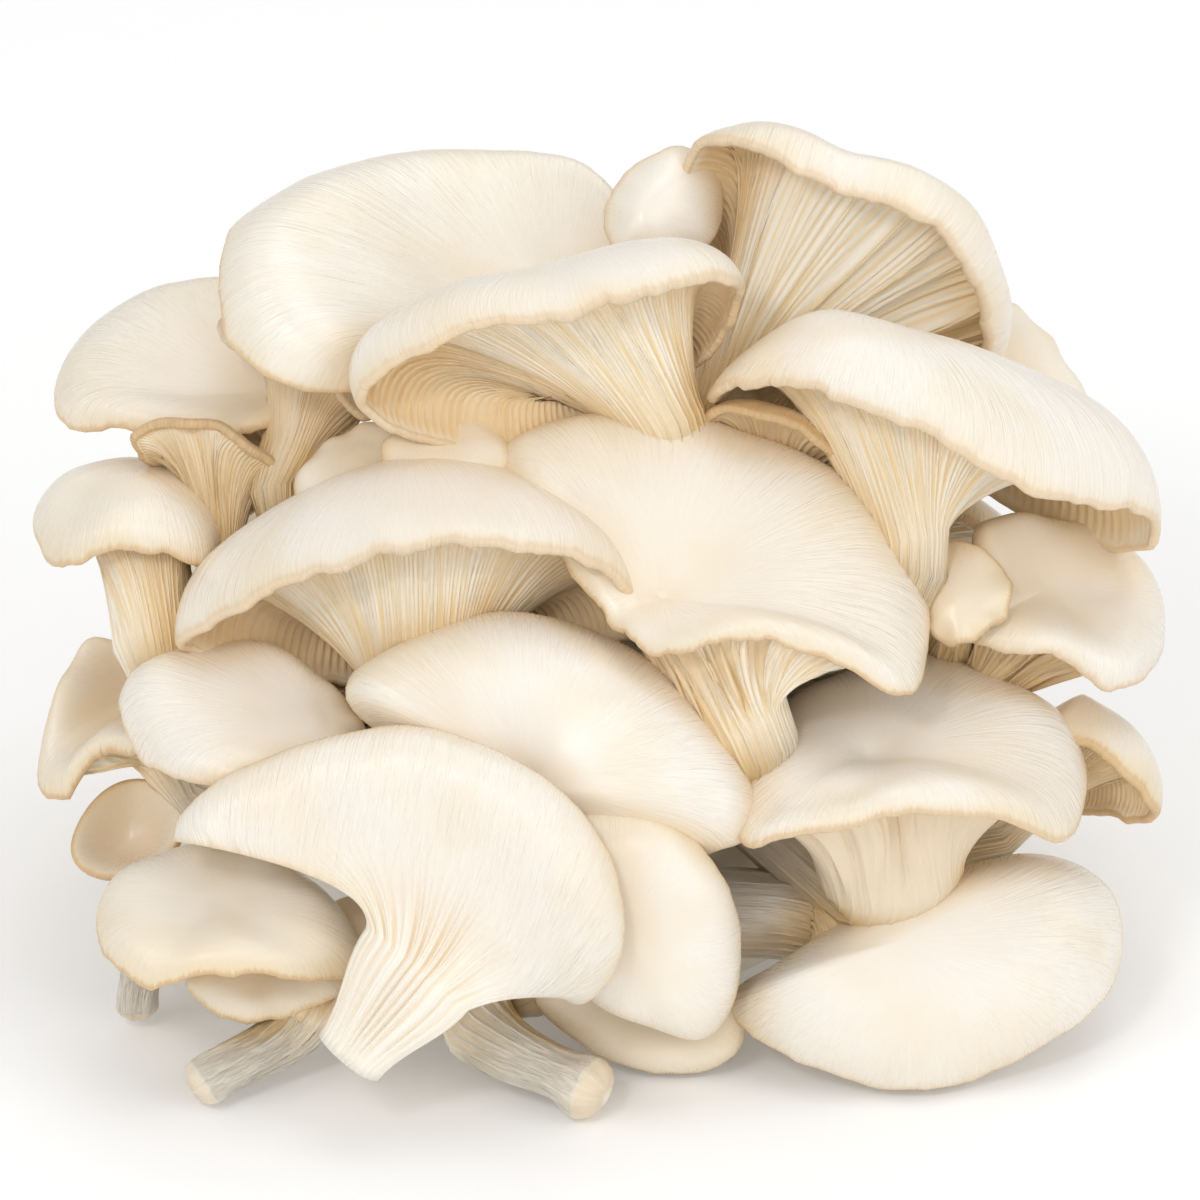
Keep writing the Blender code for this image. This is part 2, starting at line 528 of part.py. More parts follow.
def front_caps():
    """The caps that lie in front of the heap."""
    return [
        Mushroom("cap_low_left", "low_left", hub=(-76, 4, 76), neck=(-72, -6, 60), foot=(-62.4, -14.3,
                         56.4),
                 margin=((-100, 2, 66), (-97, 8, 62), (-90, 12, 60), (-80, 14.5, 60), (-64, 12, 65),
                         (-52.5, 4, 70), (-46, -9, 76), (-56, -11.5, 80), (-70, -10, 84), (-80, -10.8, 83),
                         (-88, -13, 80), (-95, -10, 76), (-99.5, -4, 71)), curl=72, gills=16,
                 foot_way=(-0.5, 0.5, 0.5)),
        Mushroom("cap_low_left_under", "low_left", hub=(-66, -8, 64), neck=(-62, -8, 52), foot=(-58, -10,
                         48),
                 margin=((-82, -11, 64), (-80, -16, 66), (-74, -19.5, 66), (-67, -20, 66), (-59, -18, 66),
                         (-51, -13.5, 68), (-54, -4, 62), (-70, -3, 58)), curl=60, gills=12, foot_way=(-0.4,
                         0, 1)),
        Mushroom("stem_low_left", "low_left", hub=(-50, -4, 66), neck=(-58, -18, 61), foot=(-78.5, -32,
                         66.5),
                 margin=((-60, -2, 62), (-52, 4, 58), (-40, 4, 58), (-36, -6, 62), (-44, -12, 68),
                         (-56, -10, 68)), curl=50, gills=10, neck_radius=6.5, foot_radius=4.8,
                 foot_way=(0.75, 0.5, -0.1), blunt=3),
        Mushroom("cap_low_mid", "low_mid", hub=(4, 0, 88), neck=(-4, -8, 64), foot=(-14, -14, 56),
                 margin=((-5, 21, 86), (8, 22, 87), (18, 17, 86), (26, 6, 80), (28, -6, 74), (26, -18, 68),
                         (20, -24, 68), (10, -21, 72), (-2, -16, 76), (-8, -4, 78), (-8, 10, 80)), curl=72,
                 gills=16, foot_way=(0.4, 0.2, 0.8)),
        Mushroom("cap_low_mid_under", "low_mid", hub=(8, -14, 62), neck=(2, -12, 50), foot=(-8, -14, 48),
                 margin=((-14, -13, 64), (-8, -22, 62), (4, -29, 59), (18, -31, 58), (28, -26, 58),
                         (28, -15, 58), (12, -6, 58), (-6, -4, 60)), curl=70, gills=14, foot_way=(0.4, 0.2,
                         0.8)),
        Mushroom("stem_low_mid", "low_mid", hub=(-34, -10, 58), neck=(-24, -21, 62), foot=(-3, -33, 71),
                 margin=((-46, -4, 60), (-36, 2, 56), (-24, 0, 54), (-20, -10, 58), (-28, -18, 64),
                         (-42, -14, 64)), curl=50, gills=10, neck_radius=8, foot_radius=5, foot_way=(-0.8,
                         0.4, -0.3), blunt=4.5, knob=0.34),
        Mushroom("cap_low_right", "low_right", hub=(60, -4, 72), neck=(50, -1, 52), foot=(20, 1, 49),
                 margin=((25, -16, 60), (38, -7, 60), (52, 2, 58), (70, 10, 54), (88, 13, 50), (101, 7, 47),
                         (105, -4, 49), (101, -16, 54), (89, -25, 58), (74, -32, 62), (60, -34, 64),
                         (44, -30, 64), (33, -25, 62)), curl=72, gills=20, neck_radius=9, foot_radius=9,
                 foot_way=(1, 0, 0)),
    ]


def oval_cap(name, bunch, centre, facing, forward, length, width, foot, **more):
    """A mushroom with an oval cap, from upright places in millimetres."""
    centre, facing, forward = (np.array(ground(*v)) for v in (centre, facing, forward))
    facing = unit(facing)
    forward = unit(forward - (forward @ facing) * facing)
    hub = centre - 0.2 * length * forward + 0.16 * length * facing
    neck = hub - 0.5 * length * facing - 0.12 * length * forward
    return Mushroom(name, bunch, hub=tuple(hub), neck=tuple(neck), foot=foot,
                    margin=oval(centre, facing, forward, length, width), **more)


def front_fan():
    """The fan that lies in front, seen from its top."""
    return Fan("cap_front", "front", foot=(-49.5, -26.5, 84), neck=(-36, -9, 90),
               margin=((-84, 16, 86), (-82, 21, 85), (-74, 27.5, 86), (-58, 34.5, 88), (-40, 37.5, 90),
                       (-22, 34, 92), (-8, 25.5, 93), (1, 13, 94), (3.4, 0, 93), (2, -9, 91), (-3, -15, 89),
                       (-8, -14.5, 88)))


def back_caps():
    """The caps at the back of the heap, which face away from the front."""
    return [
        oval_cap("cap_back_mid", "main", (4, 62, 84), (0.05, 0.75, 0.65), (0, 0.6, -0.7), 62, 76, ground(0,
                         14), gills=12),
        oval_cap("cap_back_left", "main", (-56, 52, 52), (-0.45, 0.75, 0.5), (-0.5, 0.4, -0.6), 58, 70,
                 ground(-10, 14), gills=12),
        oval_cap("cap_back_right", "main", (62, 44, 60), (0.5, 0.7, 0.5), (0.5, 0.5, -0.6), 58, 72,
                 ground(10, 14), gills=12),
        oval_cap("cap_back_low", "main", (8, 66, 34), (0.1, 0.8, 0.55), (0.1, 0.6, -0.7), 46, 60, ground(4,
                         18, 24), gills=12),
        oval_cap("cap_back_low_right", "main", (64, 42, 22), (0.6, 0.6, 0.55), (0.6, 0.3, -0.4), 36, 46,
                 ground(14, 12, 18), gills=10),
    ]


def mushrooms():
    """Every mushroom of the cluster that has a cap round its stem."""
    return upper_caps() + left_caps() + middle_caps() + front_caps() + back_caps()


def butt():
    """World points and faces of the lump of grown-together stem bases, on its flat cut underside."""
    turns = np.arange(BUTT_COLUMNS) * 2 * math.pi / BUTT_COLUMNS
    waves = 1 + sum(height * np.cos(count * turns + phase) for height, count, phase in BUTT_WAVES)
    points = []
    for radius, height in BUTT_PROFILE:
        x, y = BUTT_WIDER * radius * waves * np.cos(turns), radius * waves * np.sin(turns) - BUTT_FORWARD
        points.append(np.stack([x, y, np.full_like(x, height)], axis=-1))
    count = BUTT_COLUMNS
    numbers = [list(range(i * count, (i + 1) * count)) for i in range(len(points))]
    faces = [tuple(reversed(numbers[0])), tuple(numbers[-1])]
    for a, b in zip(numbers, numbers[1:]):
        faces += bridge(a, b)
    return np.vstack(points) * MM, faces


def clear_scene():
    """Removes every object."""
    for obj in list(bpy.data.objects):
        bpy.data.objects.remove(obj)


def new_collection(name):
    """A collection in the scene."""
    collection = bpy.data.collections.new(name)
    bpy.context.scene.collection.children.link(collection)
    return collection


def new_object(name, points, faces, collection):
    """A mesh object in the collection."""
    mesh = bpy.data.meshes.new(name)
    mesh.from_pydata([tuple(p) for p in points], [], faces)
    mesh.update()
    obj = bpy.data.objects.new(name, mesh)
    collection.objects.link(obj)
    return obj


def apply_modifiers(obj):
    """Makes the result of the modifiers the object's own mesh."""
    graph = bpy.context.evaluated_depsgraph_get()
    mesh = bpy.data.meshes.new_from_object(obj.evaluated_get(graph))
    obj.modifiers.clear()
    obj.data = mesh


def fused(name, pieces, collection):
    """One object from overlapping closed pieces."""
    whole, rest = pieces[0], pieces[1:]
    if rest:
        operands = new_collection(name + "_pieces")
        for piece in rest:
            collection.objects.unlink(piece)
            operands.objects.link(piece)
        union = whole.modifiers.new("union", "BOOLEAN")
        union.operation = "UNION"
        union.solver = "MANIFOLD"
        union.operand_type = "COLLECTION"
        union.collection = operands
        bpy.context.view_layer.update()
        apply_modifiers(whole)
        for piece in rest:
            bpy.data.objects.remove(piece)
        bpy.data.collections.remove(operands)
    whole.name = whole.data.name = name
    keep_largest(whole)
    return whole


def welded(mesh):
    """A triangulated work copy whose near points are one, as far as every edge keeps two faces."""
    for share in (1.0, 0.4, 0.1, 0.02, 0.0):
        work = bmesh.new()
        work.from_mesh(mesh)
        bmesh.ops.remove_doubles(work, verts=work.verts, dist=WELD * share)
        bmesh.ops.dissolve_degenerate(work, edges=work.edges, dist=WELD * share / 10)
        bmesh.ops.triangulate(work, faces=work.faces)
        if all(len(edge.link_faces) == 2 for edge in work.edges):
            break
    return work


def keep_largest(obj):
    """Drops loose scraps and closed hollows, so one outer skin is left."""
    work = welded(obj.data)
    islands, seen = [], set()
    for start in work.faces:
        if start in seen:
            continue
        island, queue = [], [start]
        seen.add(start)
        while queue:
            face = queue.pop()
            island.append(face)
            for edge in face.edges:
                for other in edge.link_faces:
                    if other not in seen:
                        seen.add(other)
                        queue.append(other)
        islands.append(island)

    def volume(island):
        total = 0.0
        for face in island:
            a, b, c = (v.co for v in face.verts)
            total += a.dot(b.cross(c)) / 6
        return total

    islands.sort(key=volume, reverse=True)
    for island in islands[1:]:
        bmesh.ops.delete(work, geom=island, context="FACES")
    loose = [v for v in work.verts if not v.link_faces]
    bmesh.ops.delete(work, geom=loose, context="VERTS")
    work.to_mesh(obj.data)
    work.free()


def swollen(obj, collection):
    """A copy whose surface stands off by the clearance."""
    copy = obj.copy()
    copy.data = obj.data.copy()
    copy.hide_render = True
    copy.display_type = "WIRE"
    collection.objects.link(copy)
    normals = [v.normal.copy() for v in copy.data.vertices]
    for vertex, normal in zip(copy.data.vertices, normals):
        vertex.co += normal * CLEARANCE
    return copy


def carve(obj, cutter):
    """Takes the cutter's room out of the object."""
    cut = obj.modifiers.new("clear", "BOOLEAN")
    cut.operation = "DIFFERENCE"
    cut.solver = "MANIFOLD"
    cut.object = cutter
    bpy.context.view_layer.update()
    apply_modifiers(obj)
    keep_largest(obj)


def lighten(obj):
    """Merges the smallest faces of an object that has more than a node's share of triangles."""
    count = len(obj.data.polygons)
    if count <= MOST_TRIANGLES:
        return
    merge = obj.modifiers.new("lighten", "DECIMATE")
    merge.ratio = MOST_TRIANGLES / count
    bpy.context.view_layer.update()
    apply_modifiers(obj)
    keep_largest(obj)


def flesh(name, colour):
    """Pale mushroom flesh, as one Principled material."""
    material = bpy.data.materials.new(name + "_flesh")
    material.use_nodes = True
    shader = material.node_tree.nodes["Principled BSDF"]
    shader.inputs["Base Color"].default_value = (*colour, 1.0)
    shader.inputs["Roughness"].default_value = 0.55
    shader.inputs["Metallic"].default_value = 0.0
    return material


def main():
    """Builds each bunch as one node, clear of the ones before it."""
    clear_scene()
    cluster = new_collection("oyster mushroom cluster")
    guides = new_collection("clearances")
    guides.hide_render = True
    nodes = []
    for bunch, (name, colour) in BUNCHES.items():
        pieces = [new_object(m.name, *skin_mesh(m), cluster) for m in mushrooms() if m.bunch == bunch]
        if bunch == "main":
            pieces.insert(0, new_object("butt", *butt(), cluster))
        if bunch == "front":
            pieces.append(new_object("front_fan", *fan_mesh(front_fan()), cluster))
        node = fused(name, pieces, cluster)
        for other in nodes:
            cutter = swollen(other, guides)
            carve(node, cutter)
            bpy.data.objects.remove(cutter)
        lighten(node)
        node.data.shade_smooth()
        node.data.materials.append(flesh(name, colour))
        nodes.append(node)


main()
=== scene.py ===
"""Looks of the oyster mushroom cluster: each fruit body as a finely gilled skin, on a white floor."""

import logging
import math
from dataclasses import dataclass
from enum import Enum

import bpy
import numpy as np
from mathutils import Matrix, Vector

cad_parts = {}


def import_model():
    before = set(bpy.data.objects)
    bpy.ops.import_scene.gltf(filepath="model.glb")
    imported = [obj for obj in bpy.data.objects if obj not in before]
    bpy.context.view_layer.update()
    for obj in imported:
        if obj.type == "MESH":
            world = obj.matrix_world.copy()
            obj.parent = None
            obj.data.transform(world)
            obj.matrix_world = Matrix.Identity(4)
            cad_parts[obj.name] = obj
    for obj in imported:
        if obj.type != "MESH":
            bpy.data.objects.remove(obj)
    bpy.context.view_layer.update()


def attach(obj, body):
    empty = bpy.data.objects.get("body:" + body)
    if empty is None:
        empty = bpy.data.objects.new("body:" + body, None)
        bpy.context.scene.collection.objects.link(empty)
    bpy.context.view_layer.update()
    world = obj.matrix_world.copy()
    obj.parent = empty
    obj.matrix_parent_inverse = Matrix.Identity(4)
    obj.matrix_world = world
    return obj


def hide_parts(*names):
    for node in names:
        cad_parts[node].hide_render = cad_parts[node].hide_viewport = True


Place = tuple[float, float, float]
Colour = tuple[float, float, float]
Spot = tuple[Place, float, float]
Ring = tuple[np.ndarray, dict[str, np.ndarray | float]]

MM = 0.001
BODY = "root"

# Places are in millimetres in a frame tilted back by this much from upright: across to the right, rise up
# the tilted plane, and near towards the front. Its origin is the middle of the butt's flat underside.
TILT = math.radians(30)

log = logging.getLogger("cluster")


class Bunch(Enum):
    """The bunches that lie together, by the node that each stands for."""

    MAIN = "main_bunch"
    FAN = "front_fan"
    LOW_LEFT = "front_left_bunch"
    LOW_MIDDLE = "front_middle_bunch"
    LOW_RIGHT = "front_right_cap"


class Detail(Enum):
    """How many gills, gill rings, top rings and stem rings a fruit body gets."""

    FULL = (136, 24, 32, 14)
    GOOD = (100, 20, 28, 12)
    SMALL = (64, 16, 20, 10)


def to_world(points: np.ndarray) -> np.ndarray:
    """Turns places of the tilted frame into x, y, z.

    Args:
        points: places in millimetres, the last axis across, rise and near.

    Returns:
        The same places in metres, upright.
    """
    across, rise, near = points[..., 0], points[..., 1], points[..., 2]
    y = rise * math.sin(TILT) - near * math.cos(TILT)
    z = rise * math.cos(TILT) + near * math.sin(TILT)
    return np.stack([across, y, z], axis=-1) * MM


def ground(x: float, y: float, z: float = 44.0) -> Place:
    """Turns an upright place in millimetres into one of the tilted frame.

    Args:
        x: to the right.
        y: to the back.
        z: height above the floor.

    Returns:
        The place as across, rise and near.
    """
    rise = y * math.sin(TILT) + z * math.cos(TILT)
    near = -y * math.cos(TILT) + z * math.sin(TILT)
    return (x, rise, near)


def at_margin(t: float) -> float:
    """How much of the margin's look a place under the cap has, by its share of the way outwards."""
    return float(smooth((t - 0.93) / 0.07))


def unit(vectors: np.ndarray) -> np.ndarray:
    """Vectors at length one."""
    return vectors / np.maximum(np.linalg.norm(vectors, axis=-1, keepdims=True), 1e-9)


def smooth(x: np.ndarray | float) -> np.ndarray:
    """A soft step from 0 to 1 as x goes from 0 to 1."""
    x = np.clip(x, 0.0, 1.0)
    return x * x * (3 - 2 * x)


def bezier(a: np.ndarray, b: np.ndarray, c: np.ndarray, d: np.ndarray, t: float) -> np.ndarray:
    """The place at t on the curve from a to d with handles b and c."""
    s = 1 - t
    return s**3 * a + 3 * s * s * t * b + 3 * s * t * t * c + t**3 * d


def closed_curve(points: np.ndarray, steps: int, soften: float) -> np.ndarray:
    """Draws a smooth closed curve through points.

    Args:
        points: places in order.
        steps: places between each pair.
        soften: how far corners are rounded, in steps.

    Returns:
        The curve's places.
    """
    before, after, far = np.roll(points, 1, 0), np.roll(points, -1, 0), np.roll(points, -2, 0)
    t = (np.arange(steps) / steps)[None, :, None]
    a = points[:, None]
    b, c, d = (after - before)[:, None] / 2, after[:, None], (far - points)[:, None] / 2
    curve = (2 * t**3 - 3 * t**2 + 1) * a + (t**3 - 2 * t**2 + t) * b
    curve = curve + (3 * t**2 - 2 * t**3) * c + (t**3 - t**2) * d
    curve = curve.reshape(-1, 3)
    offsets = np.arange(-3 * int(soften), 3 * int(soften) + 1)
    weights = np.exp(-0.5 * (offsets / soften) ** 2)
    return sum(w * np.roll(curve, int(o), 0) for w, o in zip(weights, offsets)) / weights.sum()


def turned(vectors: np.ndarray, start: np.ndarray, end: np.ndarray) -> np.ndarray:
    """Turns vectors the shortest way that takes one direction to another.

    Args:
        vectors: what is turned, one a row.
        start: a direction.
        end: where that direction goes.

    Returns:
        The turned vectors.
    """
    axis = np.cross(start, end)
    cos = float(start @ end)
    return vectors * cos + np.cross(axis, vectors) + np.outer(vectors @ axis, axis) / (1 + cos)


def bridge(a: np.ndarray, b: np.ndarray) -> list[tuple[int, ...]]:
    """Joins two rings of point numbers, where one may have several times as many points as the other.

    Args:
        a: the first ring's numbers.
        b: the next ring's numbers.

    Returns:
        Faces that point outwards.
    """
    if len(a) == len(b):
        return list(zip(a.tolist(), np.roll(a, -1).tolist(), np.roll(b, -1).tolist(), b.tolist()))
    few, many = (a, b) if len(a) < len(b) else (b, a)
    times = len(many) // len(few)
    faces = []
    for i, here in enumerate(few.tolist()):
        there = int(few[(i + 1) % len(few)])
        run = [int(many[(i * times + k) % len(many)]) for k in range(times + 1)]
        half = times // 2
        faces += [(here, run[k + 1], run[k]) for k in range(half)]
        faces.append((here, there, run[half]))
        faces += [(there, run[k + 1], run[k]) for k in range(half, times)]
    return faces if few is a else [face[::-1] for face in faces]


class Value:
    """One shader socket, so that maths on sockets reads as plain expressions."""

    def __init__(self, shader: "Shader", socket: bpy.types.NodeSocket) -> None:
        """Keeps the socket and the shader that it belongs to."""
        self.shader = shader
        self.socket = socket

    def maths(
        self, operation: str, *others: "Value | float", first: "Value | float | None" = None
    ) -> "Value":
        """Adds a Math node.

        Args:
            operation: the node's operation.
            others: its second and third values.
            first: its first value, this one where none is given.

        Returns:
            The node's result.
        """
        values = [self if first is None else first, *others]
        return self.shader.node("ShaderNodeMath", {"operation": operation}, dict(enumerate(values)))

    def __add__(self, other: "Value | float") -> "Value":
        """Sum."""
        return self.maths("ADD", other)

    __radd__ = __add__

    def __mul__(self, other: "Value | float") -> "Value":
        """Product."""
        return self.maths("MULTIPLY", other)

    __rmul__ = __mul__

    def __sub__(self, other: "Value | float") -> "Value":
        """Difference."""
        return self.maths("SUBTRACT", other)

    def __rsub__(self, other: float) -> "Value":
        """Difference from a number."""
        return self.maths("SUBTRACT", self, first=other)

    def __truediv__(self, other: "Value | float") -> "Value":
        """Quotient."""
        return self.maths("DIVIDE", other)

    def __pow__(self, other: float) -> "Value":
        """Power."""
        return self.maths("POWER", other)

    def step(self, low: float, high: float) -> "Value":
        """A soft step from 0 at low to 1 at high."""
        settings = {"interpolation_type": "SMOOTHSTEP"}
        return self.shader.node("ShaderNodeMapRange", settings, {0: self, 1: low, 2: high})


Input = Value | float | tuple[float, ...]


class Shader:
    """The node tree of one material."""

    def __init__(self, name: str) -> None:
        """Makes a material with its Principled shader."""
        self.material = bpy.data.materials.new(name)
        self.material.use_nodes = True
        self.nodes = self.material.node_tree.nodes
        self.links = self.material.node_tree.links
        self.surface = self.nodes["Principled BSDF"]

    def connect(self, socket: bpy.types.NodeSocket, value: Input) -> None:
        """Gives a socket a link or a constant.

        Args:
            socket: the input that is set.
            value: another socket's value, a number or a colour.
        """
        if isinstance(value, Value):
            self.links.new(value.socket, socket)
        elif isinstance(value, tuple) and socket.type == "RGBA":
            socket.default_value = (*value, 1.0)
        else:
            socket.default_value = value

    def node(
        self, kind: str, settings: dict[str, object], inputs: dict[int | str, Input], output: int | str = 0
    ) -> Value:
        """Adds any node.

        Args:
            kind: the node's type.
            settings: its settings, which are set first.
            inputs: values or links by socket.
            output: which result is wanted.

        Returns:
            That result.
        """
        made = self.nodes.new(kind)
        for name, setting in settings.items():
            setattr(made, name, setting)
        for name, value in inputs.items():
            self.connect(made.inputs[name], value)
        return Value(self, made.outputs[output])

    def attribute(self, name: str, output: str = "Fac") -> Value:
        """What the mesh keeps under a name."""
        return self.node("ShaderNodeAttribute", {"attribute_name": name}, {}, output)

    def noise(self, place: Value, scale: float, detail: float = 3.0, roughness: float = 0.5) -> Value:
        """Adds a cloudy pattern.

        Args:
            place: where it is read.
            scale: its fineness.
            detail: its finer layers.
            roughness: how strong those are.

        Returns:
            The pattern from 0 to 1.
        """
        inputs = {"Vector": place, "Scale": scale, "Detail": detail, "Roughness": roughness}
        return self.node("ShaderNodeTexNoise", {}, inputs)

    def stretched(self, place: Value, scale: Place) -> Value:
        """A place with its three parts scaled apart."""
        return self.node("ShaderNodeVectorMath", {"operation": "MULTIPLY"}, {0: place, 1: scale})

    def mix(self, factor: Value | float, first: Input, second: Input) -> Value:
        """A colour between two others."""
        return self.node("ShaderNodeMix", {"data_type": "RGBA"}, {0: factor, 6: first, 7: second}, 2)

    def bump(self, height: Value, strength: float, distance: float, below: Value | None = None) -> Value:
        """Adds relief.

        Args:
            height: the relief, from 0 to 1.
            strength: how much of it shows.
            distance: its depth in metres.
            below: relief that it lies on.

        Returns:
            The changed normal.
        """
        inputs = {"Strength": strength, "Distance": distance, "Height": height}
        if below is not None:
            inputs["Normal"] = below
        return self.node("ShaderNodeBump", {}, inputs)


@dataclass(frozen=True)
class Flesh:
    """Moist mushroom flesh: silky fibres on top, tan along the margin, and painted shade that darkens it to
    golden between the gills and in its crevices.
    """

    name: str
    top: Colour = (0.905, 0.85, 0.765)
    light: Colour = (0.945, 0.91, 0.85)
    warm: Colour = (0.88, 0.775, 0.595)
    rim: Colour = (0.70, 0.47, 0.24)
    gill: Colour = (0.985, 0.935, 0.825)
    # valley: painted shade, darker and more golden in the gaps between the gills, between the stem's ribs
    # and in the fan's pleats.
    valley: Colour = (0.90, 0.72, 0.44)
    stem: Colour = (0.955, 0.885, 0.76)
    # Painted shade: the warm golden that enclosed places are darkened towards.
    crevice_shade_colour: Colour = (0.80, 0.57, 0.28)
    edge: Colour = (0.84, 0.69, 0.46)
    tan: float = 0.6

    def material(self) -> bpy.types.Material:
        """Builds the material.

        Returns:
            The material, for every piece of this flesh.
        """
        shader = Shader(self.name)
        place = shader.node("ShaderNodeTexCoord", {}, {}, "Object")
        flow = shader.attribute("flow", "Vector")
        margin, gill = shader.attribute("margin"), shader.attribute("gill")
        valley, stem = shader.attribute("valley"), shader.attribute("stem")
        spread, crevice_shade = shader.attribute("spread"), shader.attribute("crevice_shade")
        fibres = shader.noise(shader.stretched(flow, (30.0, 30.0, 2.2)), 1.0, 2.0, 0.6)
        hairs = shader.noise(shader.stretched(flow, (110.0, 110.0, 6.0)), 1.0, 2.0, 0.6)
        clouds = shader.noise(place, 42.0, 2.0, 0.55)

        patches = (clouds + (fibres - 0.5) * spread * 0.25).step(0.42, 0.68)
        skin = shader.mix(patches * 0.6, self.top, self.warm)
        skin = shader.mix(fibres.step(0.5, 0.75) * spread * 0.5, skin, self.light)
        wide_rim = (margin ** 0.3 + clouds * 0.6 - 0.3).step(0.2, 1.1)
        skin = shader.mix(wide_rim * self.tan * 0.6, skin, self.warm)
        soft_rim = (margin + clouds * 0.9 - 0.45).step(0.15, 1.0)
        skin = shader.mix(soft_rim * self.tan, skin, self.edge)
        hard_rim = (margin + fibres * 0.5 + hairs * 0.2 - 0.35).step(0.66, 1.0)
        skin = shader.mix(hard_rim * self.tan, skin, self.rim)
        # Painted shade: the gaps between the gills are darkened towards the valley colour.
        under = shader.mix(valley * valley, self.gill, self.valley)
        under = shader.mix(fibres.step(0.45, 0.8) * 0.2, under, self.valley)
        colour = shader.mix(gill, skin, under)
        foot = shader.mix(hairs.step(0.35, 0.8) * 0.45, self.stem, self.warm)
        colour = shader.mix(stem * 0.8, colour, foot)
        # Painted shade: places that the heap closes in round are darkened towards a warm golden, most on the
        # gills and the stem.
        colour = shader.mix(crevice_shade * ((gill + stem) * 0.4 + 0.35), colour, self.crevice_shade_colour)
        shader.connect(shader.surface.inputs["Base Color"], colour)

        shine = 0.17 + hairs * 0.14 + clouds * 0.1 + gill * 0.25
        shader.connect(shader.surface.inputs["Roughness"], shine)
        relief = shader.bump(fibres * spread, 0.7, 0.0005)
        relief = shader.bump(hairs * spread, 0.8, 0.0003, relief)
        shader.connect(shader.surface.inputs["Normal"], relief)
        self.set_constants(shader)
        return shader.material

    def set_constants(self, shader: Shader) -> None:
        """Sets what is the same all over the flesh."""
        inputs = shader.surface.inputs
        inputs["Specular IOR Level"].default_value = 0.8
        inputs["IOR"].default_value = 1.4


@dataclass(frozen=True)
class WhiteSweep:
    """The matt white of the floor."""

    name: str = "white_floor"
    colour: Colour = (0.93, 0.93, 0.93)
    cloud: Colour = (0.9, 0.9, 0.9)
    glow: float = 0.1

    def material(self) -> bpy.types.Material:
        """Builds the material.

        Returns:
            The material, with a faint unevenness.
        """
        shader = Shader(self.name)
        place = shader.node("ShaderNodeTexCoord", {}, {}, "Object")
        clouds = shader.noise(place, 3.0)
        white = shader.mix(clouds * 0.1, self.colour, self.cloud)
        shader.connect(shader.surface.inputs["Base Color"], white)
        shader.surface.inputs["Roughness"].default_value = 0.8
        shader.surface.inputs["Emission Color"].default_value = (1.0, 1.0, 1.0, 1.0)
        shader.surface.inputs["Emission Strength"].default_value = self.glow
        shader.surface.inputs["Specular IOR Level"].default_value = 0.1
        return shader.material


PALE = Flesh("pale_flesh", tan=0.45)
CREAM = Flesh("cream_flesh", top=(0.90, 0.84, 0.735), tan=0.7)
TAN = Flesh("tan_flesh", top=(0.90, 0.835, 0.73), warm=(0.87, 0.755, 0.57), tan=0.9)
# A copy of the flesh with darker gills, gill valleys and stem, as painted shade on the underside of the cap
# that it dresses.
SHADED_UNDERSIDE = Flesh("shaded_underside_flesh", gill=(0.82, 0.69, 0.51), valley=(0.80, 0.62, 0.40), stem=(0.84, 0.72, 0.55))

# Lengths in millimetres. A margin's notches are given as their length and height.
COLUMNS_TO_GILL = 4
FLESH_DEPTH = 5.5
RIM = 2.2
GILL_DEPTH = 0.95
RIDGE_DEPTH = 0.6
NOTCHES = ((3.1, 0.10), (5.3, 0.16), (8.7, 0.24), (14.0, 0.34))
SWELL_LENGTHS = (17.0, 25.0, 34.0, 48.0)
MARGIN_FADE = 3.2

# Shares of the way outwards: where the gills meet the flesh under the cap's edge, where that flesh starts on
# the top, and where the gills are read for the ribs that they leave on the stem.
GILL_MEET = 0.7
FLAT_START = 0.8
RIBS_READ = 0.02

# How far a stem's end stands out in millimetres, how far a margin does as a share of half its thickness, and
# the angles at which both are rounded.
FOOT_ROUND = 0.6
RIM_ROUND = 0.8
FOOT_TURNS = (20, 40, 60, 78)
RIM_TURNS = (math.pi / 4, 0.0, -math.pi / 4)

KEPT = ("margin", "gill", "valley", "stem", "spread")


